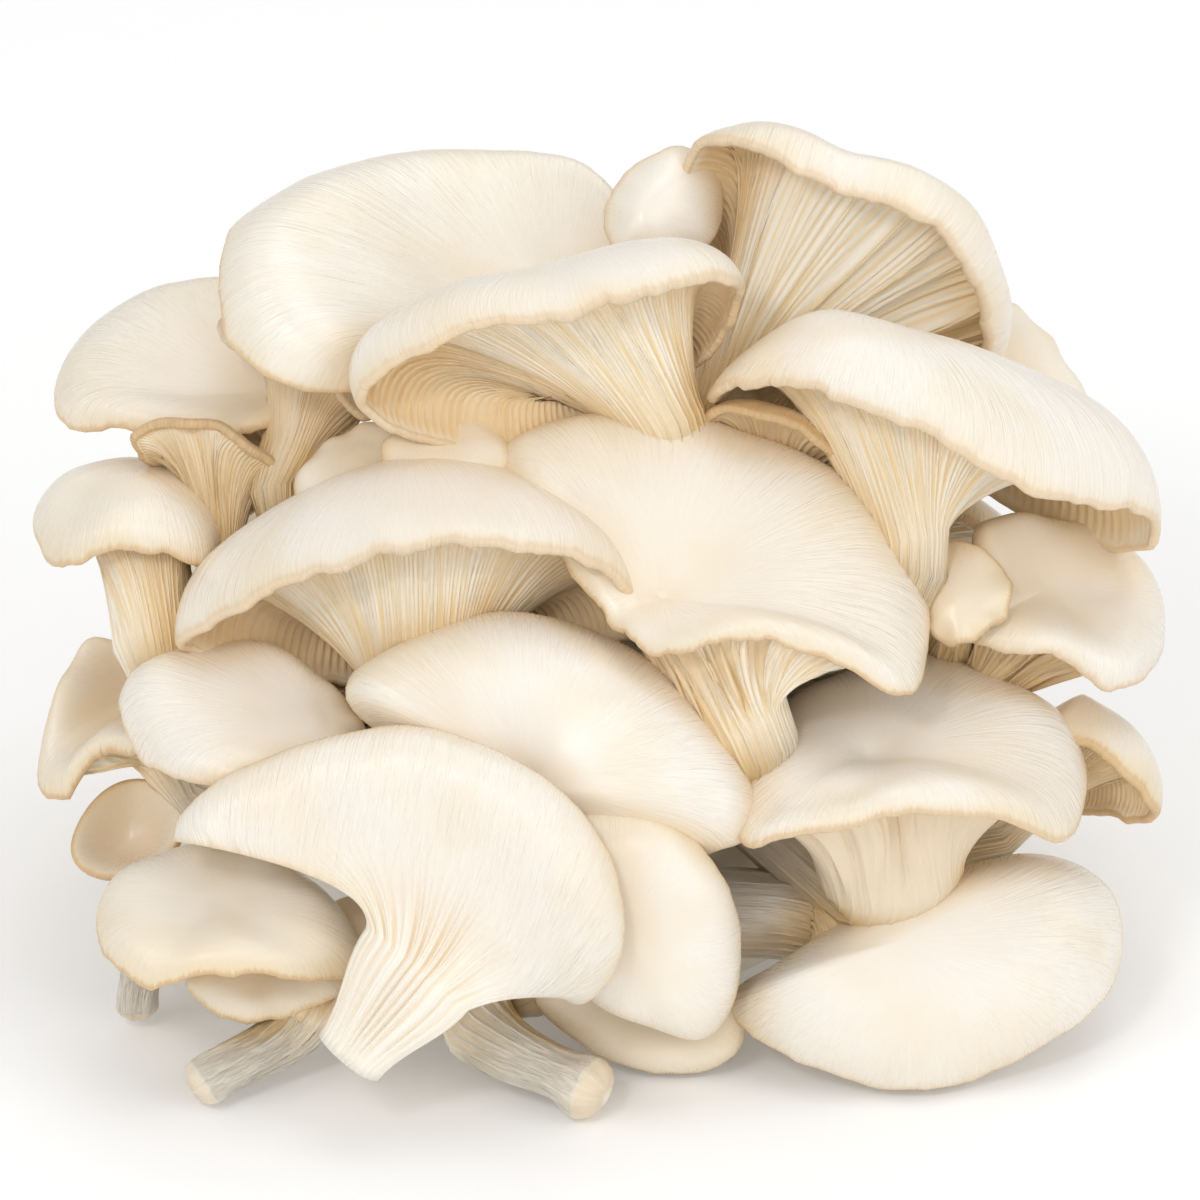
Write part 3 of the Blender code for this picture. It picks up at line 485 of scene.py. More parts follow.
@dataclass
class Mushroom:
    """One fruit body, from the foot of its stem over the gills to the top."""

    name: str
    bunch: Bunch
    hub: Place
    neck: Place
    foot: Place
    margin: tuple[Place, ...]
    curl: float = 68.0
    dish: float = 5.0
    bulge: float = 0.36
    neck_radius: float = 7.5
    foot_radius: float = 6.0
    foot_way: Place | None = None
    ruffle: tuple[float, int, float] = (0.6, 7, 0)
    dents: tuple[Spot, ...] = ()
    rolls: tuple[Spot, ...] = ()
    blunt: float = 0.0
    knob: float = 0.0
    grooved: float = 1.0
    flesh: float = 5.5
    detail: Detail = Detail.GOOD
    finish: Flesh = CREAM

    def prepare(self, seed: int) -> None:
        """Works out the margin and the directions that every ring is drawn from.

        Args:
            seed: what the unevenness of this fruit body starts from.
        """
        self.random = np.random.default_rng(seed)
        self.gills = self.detail.value[0]
        self.top_at = np.array(self.hub, float)
        self.neck_at = np.array(self.neck, float)
        self.foot_at = np.array(self.foot, float)
        points = np.array(self.margin, float)
        normal = unit(np.cross(points - points.mean(0), np.roll(points, -1, 0) - points.mean(0)).sum(0))
        if normal @ (self.top_at - self.neck_at) < 0:
            points, normal = points[::-1], -normal
        self.normal = normal
        self.down = unit(self.neck_at - self.top_at)
        flat = points.mean(0) - self.top_at
        self.ahead = unit(flat - (flat @ normal) * normal)
        self.side = np.cross(normal, self.ahead)
        self.way = unit(np.array(self.foot_way or (0, math.cos(TILT), math.sin(TILT)), float))
        self.swells = [
            (self.random.normal(size=3), self.random.uniform(0, 2 * math.pi), length)
            for length in SWELL_LENGTHS
        ]
        self.spread(closed_curve(points, 24, 4.0), self.gills * COLUMNS_TO_GILL)

    def spread(self, curve: np.ndarray, columns: int) -> None:
        """Chooses the margin's places evenly, starting ahead of the hub.

        Args:
            curve: the margin.
            columns: how many places it gets.
        """
        height, count, phase = self.ruffle
        flat = curve - self.top_at
        angle = np.arctan2(flat @ self.side, flat @ self.ahead)
        start = int(np.argmin(np.abs(angle)))
        curve = np.roll(curve, -start, 0)
        angle = np.unwrap(np.roll(angle, -start))
        step = np.linalg.norm(np.roll(curve, -1, 0) - curve, axis=1)
        gain = np.maximum(np.diff(np.append(angle, angle[0] + 2 * math.pi)), 0)
        share = 0.7 * step / step.sum() + 0.3 * gain / gain.sum()
        along = np.append(0, np.cumsum(share))
        wanted = np.arange(columns) / columns
        closed = np.vstack([curve, curve[:1]])
        self.edge = np.stack([np.interp(wanted, along, closed[:, k]) for k in range(3)], -1)
        self.angle = np.interp(wanted, along, np.append(angle, angle[0] + 2 * math.pi))
        wave = height * np.cos(count * self.angle + math.radians(phase))
        self.wave = wave[:, None] * self.normal
        self.set_headings()
        self.crimp(step.sum())

    def set_headings(self) -> None:
        """Works out which way the margin heads at each column."""
        flat = self.edge - self.top_at
        flat = flat - (flat @ self.normal)[:, None] * self.normal
        self.reach = np.linalg.norm(flat, axis=1, keepdims=True)
        self.radial = unit(flat)
        out = unit(np.cross(np.roll(self.edge, -1, 0) - np.roll(self.edge, 1, 0), self.normal))
        out = unit(0.6 * out + 0.4 * self.radial)
        curl = np.full((len(flat), 1), float(self.curl))
        for centre, radius, degrees in self.rolls:
            apart = np.linalg.norm(self.edge - np.array(centre, float), axis=1, keepdims=True)
            curl += degrees * np.exp(-((apart / radius) ** 2))
        curl = np.radians(curl)
        heading = np.cos(curl) * out - np.sin(curl) * self.normal
        self.heading = unit(heading)

    def crimp(self, length: float) -> None:
        """Gives the margin its fine notches.

        Args:
            length: the margin's length in millimetres.
        """
        notch = np.zeros(len(self.angle))
        share = np.arange(len(self.angle)) / len(self.angle) * 2 * math.pi
        for wave, height in NOTCHES:
            count = max(3, round(length / wave))
            phase = self.random.uniform(0, 2 * math.pi)
            notch += height * np.sin(count * share + phase + 1.3 * np.sin(share * 3))
        self.notch = notch[:, None] * self.heading * min(1.0, 2 * self.grooved)

    def swell(self, ring: np.ndarray) -> np.ndarray:
        """How far the flesh stands up or sinks at each place, in millimetres."""
        total = np.zeros(len(ring))
        for way, phase, length in self.swells:
            total += length / 60 * np.sin(ring @ unit(way) * 2 * math.pi / length + phase)
        return total * 0.55

    def raised(self, ring: np.ndarray, share: float) -> np.ndarray:
        """A ring moved by a share of the flesh's unevenness."""
        return ring + (self.swell(ring) * share)[:, None] * self.normal

    def top(self, t: float) -> np.ndarray:
        """The top's ring: t from 0 at the hub to 1 at the margin."""
        dish = math.radians(self.dish)
        rise = math.cos(dish) * self.radial + math.sin(dish) * self.normal
        first = self.top_at + 0.5 * self.reach * rise
        run = self.bulge * np.maximum(self.reach, 8)
        ring = bezier(self.top_at, first, self.edge - self.heading * run, self.edge, t)
        for centre, radius, depth in self.dents:
            apart = np.linalg.norm(ring - np.array(centre, float), axis=-1, keepdims=True)
            ring = ring - depth * np.exp(-((apart / radius) ** 2)) * self.normal
        return ring + self.wave * smooth((t - 0.35) / 0.65) + self.notch * smooth((t - 0.8) / 0.2)

    def lifted(self, ring: np.ndarray, ahead: np.ndarray) -> np.ndarray:
        """The way out of the surface at a ring, given its way outwards along the cap."""
        return unit(np.cross(ahead, np.roll(ring, -2, 0) - np.roll(ring, 2, 0)))

    def below(self, t: float) -> np.ndarray:
        """The cap's underside at a depth below the top's ring t."""
        ring = self.top(t)
        ahead = self.top(min(t + 0.01, 1.0)) - self.top(min(t + 0.01, 1.0) - 0.02)
        depth = RIM + (self.flesh - RIM) * smooth((1 - t) / 0.5)
        return ring - self.lifted(ring, ahead) * depth

    def under(self, t: float) -> np.ndarray:
        """The gills' ring: t from 0 at the neck to 1 at the margin."""
        if t >= GILL_MEET:
            return self.below(FLAT_START + (1 - FLAT_START) * (t - GILL_MEET) / (1 - GILL_MEET))
        start = self.ring(self.neck_at, self.down, self.neck_radius)
        end = self.below(FLAT_START)
        ahead = unit(self.below(FLAT_START + 0.02) - end)
        run = np.linalg.norm(end - start, axis=1, keepdims=True)
        return bezier(start, start - self.down * run * 0.22, end - ahead * run * 0.28, end, t / GILL_MEET)

    def gill_cut(self, t: float) -> np.ndarray:
        """How deep each column lies between the gills at t, from 0 on a gill's edge to 1.

        Args:
            t: from 0 at the neck to 1 at the margin.

        Returns:
            One value a column.
        """
        crest = smooth((t - self.starts) / 0.16)
        after = np.roll(crest, -1)
        share = np.arange(COLUMNS_TO_GILL) / COLUMNS_TO_GILL
        near = 0.5 + 0.5 * np.cos(math.pi * np.minimum(share * 2, 1))
        far = 0.5 + 0.5 * np.cos(math.pi * np.minimum((1 - share) * 2, 1))
        cut = 1 - np.outer(crest, near) - np.outer(after, far)
        return cut.reshape(-1)

    def grow_gills(self) -> None:
        """Chooses where each gill starts, how deep the gaps are and how the gills sway."""
        order = np.arange(self.gills) % 4
        random = self.random
        late, later = random.uniform(0.0, 0.1, self.gills), random.uniform(0.08, 0.34, self.gills)
        self.starts = np.where(order == 0, -0.2, np.where(order == 2, late, later))
        self.depths = np.repeat(random.uniform(0.75, 1.1, self.gills), COLUMNS_TO_GILL)
        self.sway = random.uniform(0, 2 * math.pi, 3)

    def swayed(self, ring: np.ndarray, t: float) -> np.ndarray:
        """A ring whose places are shifted along it, so that the gills sway."""
        share = np.arange(len(ring)) / len(ring) * 2 * math.pi
        shift = 0.43 * np.sin(4 * t + 9 * share + self.sway[0])
        shift = shift + 0.2 * np.sin(9 * t + 23 * share + self.sway[1])
        at = np.arange(len(ring)) + COLUMNS_TO_GILL * shift * math.sin(math.pi * t)
        low = np.floor(at).astype(int)
        part = (at - low)[:, None]
        return ring[low % len(ring)] * (1 - part) + ring[(low + 1) % len(ring)] * part

    def gilled(self, t: float) -> tuple[np.ndarray, np.ndarray]:
        """The gills' ring, cut back between the gills.

        Args:
            t: from 0 at the neck to 1 at the margin.

        Returns:
            The ring, and how deep each place lies between its gills.
        """
        ring = self.under(t)
        ahead = self.under(min(t + 0.02, 1.0)) - self.under(max(t - 0.02, 0.0))
        lift = self.lifted(ring, ahead)
        half = COLUMNS_TO_GILL // 2
        spacing = np.linalg.norm(np.roll(ring, -half, 0) - np.roll(ring, half, 0), axis=1)
        depth = np.clip(spacing * (1.1 - 0.4 * t), 0.35, GILL_DEPTH) * smooth((1 - t) / 0.15) * self.grooved
        cut = self.gill_cut(t)
        moved = ring + lift * (cut * self.depths * depth)[:, None]
        moved = self.raised(moved, float(smooth((t - 0.25) / 0.5)))
        return self.swayed(moved, t), cut * smooth((1 - t) / 0.12) * self.grooved

    def ring(self, centre: np.ndarray, way: np.ndarray, radius: float) -> np.ndarray:
        """A circle of places round the stem."""
        frame = turned(np.stack([self.ahead, self.side]), -self.normal, unit(way))
        across, up = np.cos(self.angle)[:, None], np.sin(self.angle)[:, None]
        return centre + radius * (across * frame[0] + up * frame[1])

    def stem(self, t: float) -> np.ndarray:
        """The stem's ring, ribbed where the gills run down it: t from 0 at the foot to 1 at the neck."""
        reach = np.linalg.norm(self.neck_at - self.foot_at)
        first, last = self.foot_at + self.way * reach * 0.3, self.neck_at + self.down * reach * 0.35
        bends = (self.foot_at, first, last, self.neck_at)
        heading = bezier(*bends, t - 0.01) - bezier(*bends, t + 0.01)
        radius = self.foot_radius + (self.neck_radius - self.foot_radius) * t**2
        radius = radius * (1 + self.knob * math.exp(-((t / 0.15) ** 2)))
        centre = bezier(*bends, t)
        ring = self.ring(centre, heading, radius)
        rib = self.gill_cut(RIBS_READ) * RIDGE_DEPTH * smooth((t - 0.05) / 0.5)
        lumps = 0.35 * np.sin(3 * self.angle + 5 * t + self.sway[0]) + 0.2 * np.sin(7 * self.angle - 4 * t)
        return ring + unit(ring - centre) * (lumps * (1 - t) - rib)[:, None]

    def rim_ring(self, share: float) -> np.ndarray:
        """The rounded edge's ring: share from 0 below to 1 on top."""
        above, beneath = self.top(1.0), self.under(1.0)
        middle, half = (above + beneath) / 2, (above - beneath) / 2
        turn = math.pi * (share - 0.5)
        round_out = np.linalg.norm(half, axis=1, keepdims=True) * RIM_ROUND * self.heading
        return middle + half * math.sin(turn) + round_out * math.cos(turn)

    def rings(self) -> list[Ring]:
        """Draws every ring from the foot over the gills and the margin to the hub.

        Returns:
            Each ring's places, with what its places keep for the finish.
        """
        _, gill_rings, top_rings, stem_rings = self.detail.value
        coarse, halves = slice(None, None, COLUMNS_TO_GILL), slice(None, None, COLUMNS_TO_GILL // 2)
        made = []
        end, middle = self.stem(0.0)[coarse], self.stem(0.0).mean(0)
        for turn in np.radians(FOOT_TURNS):
            rounded = middle + (end - middle) * math.sin(turn)
            rounded = rounded - self.way * (self.blunt + FOOT_ROUND) * math.cos(turn)
            cut = 0.8 if self.blunt else 0.0
            made.append((rounded, {"stem": 1 - 0.6 * cut, "margin": cut, "along": -1.0, "spread": 0.3}))
        for i in range(stem_rings):
            t = i / stem_rings
            ridged = float(smooth((t - 0.3) / 0.6))
            # The valleys between the stem's ribs get painted shade through the valley value.
            valley = self.gill_cut(RIBS_READ)[halves]
            kept = {"stem": 1 - 0.35 * ridged, "gill": ridged, "valley": valley, "along": t - 1}
            made.append((self.stem(t)[halves], kept | {"spread": 1.0}))
        for i in range(gill_rings):
            t = (i / (gill_rings - 1)) ** 0.9
            ring, valley = self.gilled(t)
            stem = 0.65 * float(1 - smooth(t / 0.25))
            near = at_margin(t)
            kept = {"stem": stem, "gill": 1.0 - near, "valley": valley, "along": t, "margin": near}
            made.append((ring, kept | {"spread": 0.4}))
        for share in (0.25, 0.5, 0.75):
            ring = self.raised(self.rim_ring(share), 1.0)
            made.append((ring[coarse], {"margin": 1.0, "along": 1.0, "spread": 1.0}))
        for i in range(top_rings):
            t = 1 - (i / top_rings) ** 1.25
            ring = self.raised(self.top(t), float(smooth(t / 0.3)))[coarse]
            reach = self.reach[coarse, 0]
            margin = np.exp(-(reach * (1 - t)) / MARGIN_FADE)
            kept = {"margin": margin, "along": 2 - t, "spread": smooth((reach * t - 4) / 30)}
            made.append((ring, kept))
        return made

    def build(self, seed: int) -> bpy.types.Object:
        """Makes the fruit body's mesh.

        Args:
            seed: what its unevenness starts from.

        Returns:
            The piece.
        """
        self.prepare(seed)
        self.grow_gills()
        rings = self.rings()
        numbers, count = [], 0
        for ring, _ in rings:
            numbers.append(np.arange(count, count + len(ring)))
            count += len(ring)
        faces = []
        for a, b in zip(numbers, numbers[1:]):
            faces += bridge(a, b)
        first, last = numbers[0], numbers[-1]
        faces += [(count, int(np.roll(first, -1)[i]), int(first[i])) for i in range(len(first))]
        faces += [(count + 1, int(last[i]), int(np.roll(last, -1)[i])) for i in range(len(last))]
        foot = self.stem(0.0).mean(0) - self.way * (self.blunt + FOOT_ROUND)
        hub = self.raised(self.top(0.0), 0.0)[:1]
        points = np.vstack([ring for ring, _ in rings] + [foot[None], hub])
        piece = new_piece(self.name, to_world(points), faces)
        self.keep(piece, rings)
        return piece

    def keep(self, piece: bpy.types.Object, rings: list[Ring]) -> None:
        """Stores what the finish reads on the mesh.

        Args:
            piece: the fruit body.
            rings: its rings.
        """
        tips = {name: np.array([float(name == "stem"), 0.0]) for name in KEPT}
        whole = {}
        for name in KEPT:
            values = [np.broadcast_to(kept.get(name, 0.0), len(ring)) for ring, kept in rings]
            whole[name] = np.concatenate(values + [tips[name]])
        flow = []
        for ring, kept in rings:
            angle = self.angle[:: len(self.angle) // len(ring)]
            along = np.broadcast_to(kept["along"], len(ring))
            flow.append(np.stack([np.cos(angle), np.sin(angle), along + self.sway[2]], -1))
        flow.append(np.array([[0.0, 0.0, self.sway[2] - 1], [0.0, 0.0, self.sway[2] + 2]]))
        store(piece, whole, np.vstack(flow))

    def dress(self, piece: bpy.types.Object, materials: dict[str, bpy.types.Material]) -> None:
        """Gives the fruit body its flesh.

        Args:
            piece: the fruit body.
            materials: the fleshes by name.
        """
        piece.data.materials.append(materials[self.finish.name])
        stand_for(piece, self.bunch)


def store(piece: bpy.types.Object, values: dict[str, np.ndarray], flow: np.ndarray) -> None:
    """Stores what the finish reads on a piece's points.

    Args:
        piece: the piece.
        values: one number a point for each name in KEPT.
        flow: where each point lies along and round the fibres.
    """
    attributes = piece.data.attributes
    for name in KEPT:
        attributes.new(name, "FLOAT", "POINT").data.foreach_set("value", values[name].astype(np.float32))
    places = flow.astype(np.float32).ravel()
    attributes.new("flow", "FLOAT_VECTOR", "POINT").data.foreach_set("vector", places)


def new_piece(name: str, points: np.ndarray, faces: list[tuple[int, ...]]) -> bpy.types.Object:
    """Makes a smooth mesh object.

    Args:
        name: the piece's name.
        points: its places in metres.
        faces: its faces.

    Returns:
        The object, in the scene.
    """
    mesh = bpy.data.meshes.new(name)
    mesh.from_pydata(points.tolist(), [], faces)
    mesh.update()
    mesh.shade_smooth()
    piece = bpy.data.objects.new(name, mesh)
    bpy.context.scene.collection.objects.link(piece)
    return piece


def stand_for(piece: bpy.types.Object, bunch: Bunch) -> None:
    """Lets a piece stand for its bunch's node, and reports it.

    Args:
        piece: the piece.
        bunch: the bunch that it belongs to.
    """
    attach(piece, BODY)
    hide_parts(bunch.value)
    triangles = sum(len(p.vertices) - 2 for p in piece.data.polygons)
    log.info("%s stands for %s with %d triangles", piece.name, bunch.value, triangles)


def oval_cap(
    name: str, centre: Place, facing: Place, forward: Place, length: float, width: float, foot: Place
) -> Mushroom:
    """Lays out a fruit body with an oval cap from upright places.

    Args:
        name: the piece's name.
        centre: the cap's middle.
        facing: the way its top looks.
        forward: the way it reaches from its stem.
        length: its size that way in millimetres.
        width: its size across.
        foot: where its stem ends, in the tilted frame.

    Returns:
        The fruit body.
    """
    middle, out, ahead = (np.array(ground(*v)) for v in (centre, facing, forward))
    out = unit(out)
    ahead = unit(ahead - (ahead @ out) * out)
    side = np.cross(out, ahead)
    turns = np.arange(8) * math.pi / 4
    spots = [middle + length / 2 * math.cos(a) * ahead + width / 2 * math.sin(a) * side for a in turns]
    hub = middle - 0.2 * length * ahead + 0.16 * length * out
    neck = hub - 0.5 * length * out - 0.12 * length * ahead
    margin = tuple(tuple(spot) for spot in spots)
    return Mushroom(
        name, Bunch.MAIN, hub=tuple(hub), neck=tuple(neck), foot=foot, margin=margin, detail=Detail.SMALL
    )


def open_curve(points: np.ndarray, wanted: np.ndarray) -> np.ndarray:
    """Places on a smooth curve through the points.

    Args:
        points: what the curve runs through.
        wanted: shares of its length from 0 to 1.

    Returns:
        One place a share.
    """
    ends = np.vstack([2 * points[:1] - points[1:2], points, 2 * points[-1:] - points[-2:-1]])
    places = []
    for a, b, c, d in zip(ends, ends[1:], ends[2:], ends[3:]):
        for t in np.linspace(0, 1, 16, endpoint=False):
            places.append(bezier(b, b + (c - a) / 6, c - (d - b) / 6, c, t))
    whole = np.vstack(places + [points[-1]])
    along = np.append(0, np.cumsum(np.linalg.norm(np.diff(whole, axis=0), axis=1)))
    return np.stack([np.interp(wanted * along[-1], along, whole[:, k]) for k in range(3)], -1)


@dataclass
class Fan:
    """A fruit body whose top runs on into its stem, drawn along ribs from the foot to the margin."""

    name: str
    bunch: Bunch
    foot: Place
    neck: Place
    margin: tuple[Place, ...]
    facing: Place = (0.0, 0.15, 1.0)
    foot_half: float = 7.4
    neck_half: float = 13.0
    foot_deep: float = 6.0
    neck_deep: float = 6.0
    curl: float = 70.0
    bulge: float = 0.32
    neck_share: float = 0.22
    ribs: int = 480
    rings: int = 52
    pleats: int = 12
    gills: int = 100
    pleat_depth: float = 1.1
    finish: Flesh = PALE

    def prepare(self, seed: int) -> None:
        """Works out the margin and the directions that every rib is drawn from.

        Args:
            seed: what its unevenness starts from.
        """
        self.random = np.random.default_rng(seed)
        self.foot_at, self.neck_at = np.array(self.foot, float), np.array(self.neck, float)
        self.out = unit(np.array(self.facing, float))
        even = np.linspace(-1, 1, self.ribs + 1)
        self.across = (0.55 * even + 0.45 * np.sin(even * math.pi / 2))[:, None]
        axis = self.neck_at - self.foot_at
        self.axis = unit(axis - (axis @ self.out) * self.out)
        self.side = np.cross(self.axis, self.out)
        self.edge = open_curve(np.array(self.margin, float), (self.across[:, 0] + 1) / 2)
        along = np.gradient(self.edge, axis=0)
        outward = unit(np.cross(self.out, along))
        radial = self.edge - self.neck_at
        radial = unit(radial - (radial @ self.out)[:, None] * self.out)
        out = unit(0.5 * outward + 0.5 * radial)
        curl = math.radians(self.curl)
        self.heading = math.cos(curl) * out - math.sin(curl) * self.out
        self.reaches = self.random.uniform(0.34, 0.62, self.pleats)
        self.waves = self.random.uniform(0, 2 * math.pi, 6)

    def rib(self, t: float) -> np.ndarray:
        """The middle of the flesh: t from 0 at the foot to 1 at the margin."""
        foot = self.foot_at + self.side * self.foot_half * self.across
        neck = self.neck_at + self.side * self.neck_half * self.across
        if t < self.neck_share:
            third = (self.neck_at - self.foot_at) / 3
            return bezier(foot, foot + third, neck - third, neck, t / self.neck_share)
        run = np.linalg.norm(self.edge - neck, axis=1, keepdims=True)
        rise = unit(self.axis + 0.5 * self.across * self.side + 0.1 * self.out)
        end = self.edge - self.heading * run * self.bulge
        share = (t - self.neck_share) / (1 - self.neck_share)
        return bezier(neck, neck + rise * run * 0.25, end, self.edge, share)

    def depths(self, t: float) -> tuple[np.ndarray, np.ndarray]:
        """How far the front and the back stand off the middle of the flesh."""
        full = np.sqrt(1 - self.across**2)
        stem = (self.foot_deep + (self.neck_deep - self.foot_deep) * min(t / self.neck_share, 1)) * full
        cap = RIM / 2 * np.sqrt(1 - self.across**8)
        gills = (FLESH_DEPTH - RIM) * np.sqrt(1 - self.across**4) * smooth((1 - t) / 0.35)
        spread = smooth((t - 0.6 * self.neck_share) / 0.35)
        return stem + (cap - stem) * spread, stem + (cap + gills - stem) * spread

    def pleat(self, t: float) -> np.ndarray:
        """How deep each rib lies between the pleats of the stem's front, from 0 on a pleat to 1."""
        x = self.across[:, 0]
        bend = 0.24 * np.sin(2.2 * math.pi * x + self.waves[1])
        bend = bend + 0.1 * np.sin(5.3 * math.pi * x + self.waves[2] + 4 * t)
        at = (x + 1) / 2 * self.pleats + bend
        number = np.floor(at).astype(int) % self.pleats
        broad = (0.5 - 0.5 * np.cos(2 * math.pi * at)) ** 1.6
        fine = (0.5 - 0.5 * np.cos(2 * math.pi * (3 * at + 0.3 * np.sin(9 * t + self.waves[0])))) ** 1.3
        fade = smooth((self.reaches[number] - t) / 0.22)
        after = smooth((np.roll(self.reaches, -1)[number] - t) / 0.22)
        broad = broad * np.minimum(1.0, 0.3 + 0.7 * (fade + after) / 2)
        rise = 0.22 + 0.2 * smooth((t - 0.2) / 0.15)
        return (broad + fine * rise) / 1.2 * smooth((0.68 - t) / 0.36)

    def swell(self, ring: np.ndarray) -> np.ndarray:
        """How far the flesh stands up or sinks at each place, in millimetres."""
        across, rise = ring[:, 0], ring[:, 1]
        low = 0.3 * np.sin(across / 6.1 + self.waves[2]) + 0.3 * np.sin(rise / 7.3 + self.waves[3])
        return (low + 0.15 * np.sin((across + rise) / 3.7 + self.waves[4]))[:, None]

    def faces(self, t: float) -> tuple[np.ndarray, np.ndarray, np.ndarray, np.ndarray]:
        """Draws the front and the back at t.

        Args:
            t: from 0 at the foot to 1 at the margin.

        Returns:
            The front's places, the back's, and how deep each lies between the pleats and the gills.
        """
        middle = self.rib(t)
        ahead = self.rib(min(t + 0.01, 1.0)) - self.rib(min(t + 0.01, 1.0) - 0.02)
        out = unit(np.cross(np.gradient(middle, axis=0), ahead))
        front, back = self.depths(t)
        full = np.sqrt(1 - self.across**2)
        groove = self.pleat(t) * smooth((t + 0.04) / 0.15)
        valley = 0.5 - 0.5 * np.cos(math.pi * self.gills * (self.across[:, 0] + 1))
        notch = 0.16 * np.sin(90 * self.across + self.waves[5]) + 0.2 * np.sin(41 * self.across)
        sunk = self.pleat_depth * full * groove[:, None]
        front_ring = middle + out * (front - sunk + self.swell(middle) * full)
        depth = GILL_DEPTH * full * smooth((t - self.neck_share) / 0.2) * smooth((1 - t) / 0.3)
        back_ring = middle - out * (back - depth * valley[:, None] - self.swell(middle) * full)
        shift = notch * smooth((t - 0.9) / 0.1) * self.heading
        return front_ring + shift, back_ring + shift, groove, valley

    def front_values(self, t: float, ring: np.ndarray, groove: np.ndarray) -> dict[str, np.ndarray]:
        """What the finish reads on the front at t."""
        steps = np.append(0, np.cumsum(np.linalg.norm(np.diff(ring, axis=0), axis=1)))
        sideways = np.minimum(steps, steps[-1] - steps) + 30 * (1 - smooth((t - 0.3) / 0.15))
        run = np.linalg.norm(self.edge - self.neck_at, axis=1) * (1 - t)
        margin = np.exp(-np.minimum(run, sideways) / MARGIN_FADE)
        ones = np.ones(len(ring))
        pleated = smooth((0.55 - t) / 0.3)
        stem = 0.35 * (1 - smooth((t - 0.2) / 0.25)) * ones
        spread = ones * (0.3 + 0.7 * smooth((t - 0.3) / 0.4))
        gill = 0.35 * pleated * ones
        # The pleats' grooves carry the valley value, so they get painted shade.
        return {"margin": margin, "gill": gill, "valley": groove, "stem": stem, "spread": spread}

    def build(self, seed: int) -> bpy.types.Object:
        """Makes the fan's mesh.

        Args:
            seed: what its unevenness starts from.

        Returns:
            The piece.
        """
        self.prepare(seed)
        rings, kept, flows = [], [], []
        for t in 1 - (1 - np.linspace(0, 1, self.rings)) ** 1.15:
            front, back, groove, valley = self.faces(float(t))
            values = self.front_values(float(t), front, groove)
            inner = slice(-2, 0, -1)
            gill = float(smooth((t - 0.1) / 0.15))
            near = values["margin"] * at_margin(float(t))
            behind = {"margin": near, "gill": gill, "valley": valley, "stem": 1 - gill, "spread": 0.4}
            for name in KEPT:
                behind[name] = np.broadcast_to(behind[name], len(front))
            rings.append(np.vstack([front, back[inner]]))
            kept.append({name: np.append(values[name], behind[name][inner]) for name in KEPT})
            arc = np.append(0, np.cumsum(np.linalg.norm(np.diff(front, axis=0), axis=1)))
            arc -= arc[len(arc) // 2]
            flow = np.stack([arc / 40, np.zeros(len(front)), np.full(len(front), 1.4 * t)], -1)
            flows.append(np.vstack([flow, flow[inner]]))
        count = len(rings[0])
        faces = []
        for i in range(len(rings) - 1):
            here = np.arange(i * count, (i + 1) * count)
            faces += bridge(here, here + count)
        points, values, flow = np.vstack(rings), self.joined(kept), np.vstack(flows)
        tip = len(points)
        faces += [(tip, (i + 1) % count, i) for i in range(count)]
        points = np.vstack([points, self.foot_at - self.axis * FOOT_ROUND])
        values = {name: np.append(values[name], float(name == "stem")) for name in KEPT}
        flow = np.vstack([flow, flow[:1]])
        points, values, flow, faces = self.close_rim(points, values, flow, faces, count)
        piece = new_piece(self.name, to_world(points), faces)
        store(piece, values, flow)
        return piece

    def joined(self, kept: list[dict[str, np.ndarray]]) -> dict[str, np.ndarray]:
        """The values of all rings, end to end."""
        return {name: np.concatenate([ring[name] for ring in kept]) for name in KEPT}

    def close_rim(
        self, points: np.ndarray, values: dict[str, np.ndarray], flow: np.ndarray,
        faces: list[tuple[int, ...]], count: int,
    ) -> tuple[np.ndarray, dict[str, np.ndarray], np.ndarray, list[tuple[int, ...]]]:
        """Rounds the margin between the last ring's front and back.

        Args:
            points: the places so far.
            values: what the finish reads so far.
            flow: the fibres' places so far.
            faces: the faces so far.
            count: how many places a ring has.

        Returns:
            The places, values, flow and faces with the rim.
        """
        start = (self.rings - 1) * count
        front = np.arange(start, start + self.ribs + 1)
        behind = np.arange(start + count - 1, start + self.ribs, -1)
        back = np.concatenate([[start], behind, [start + self.ribs]])
        middle, half = (points[front] + points[back]) / 2, (points[front] - points[back]) / 2
        rows = [front]
        for turn in RIM_TURNS:
            size = np.linalg.norm(half, axis=1, keepdims=True)
            row = middle + half * math.sin(turn) + self.heading * size * RIM_ROUND * math.cos(turn)
            rows.append(np.arange(len(points), len(points) + len(row)))
            points = np.vstack([points, row])
            for name in KEPT:
                more = np.full(len(row), float(name in ("margin", "spread")))
                values[name] = np.append(values[name], more)
            flow = np.vstack([flow, flow[front]])
        rows.append(back)
        for a, b in zip(rows, rows[1:]):
            for i in range(self.ribs):
                corners = (int(a[i]), int(a[i + 1]), int(b[i + 1]), int(b[i]))
                faces.append(tuple(dict.fromkeys(corners)))
        return points, values, flow, faces

    def dress(self, piece: bpy.types.Object, materials: dict[str, bpy.types.Material]) -> None:
        """Gives the fan its flesh."""
        piece.data.materials.append(materials[self.finish.name])
        stand_for(piece, self.bunch)


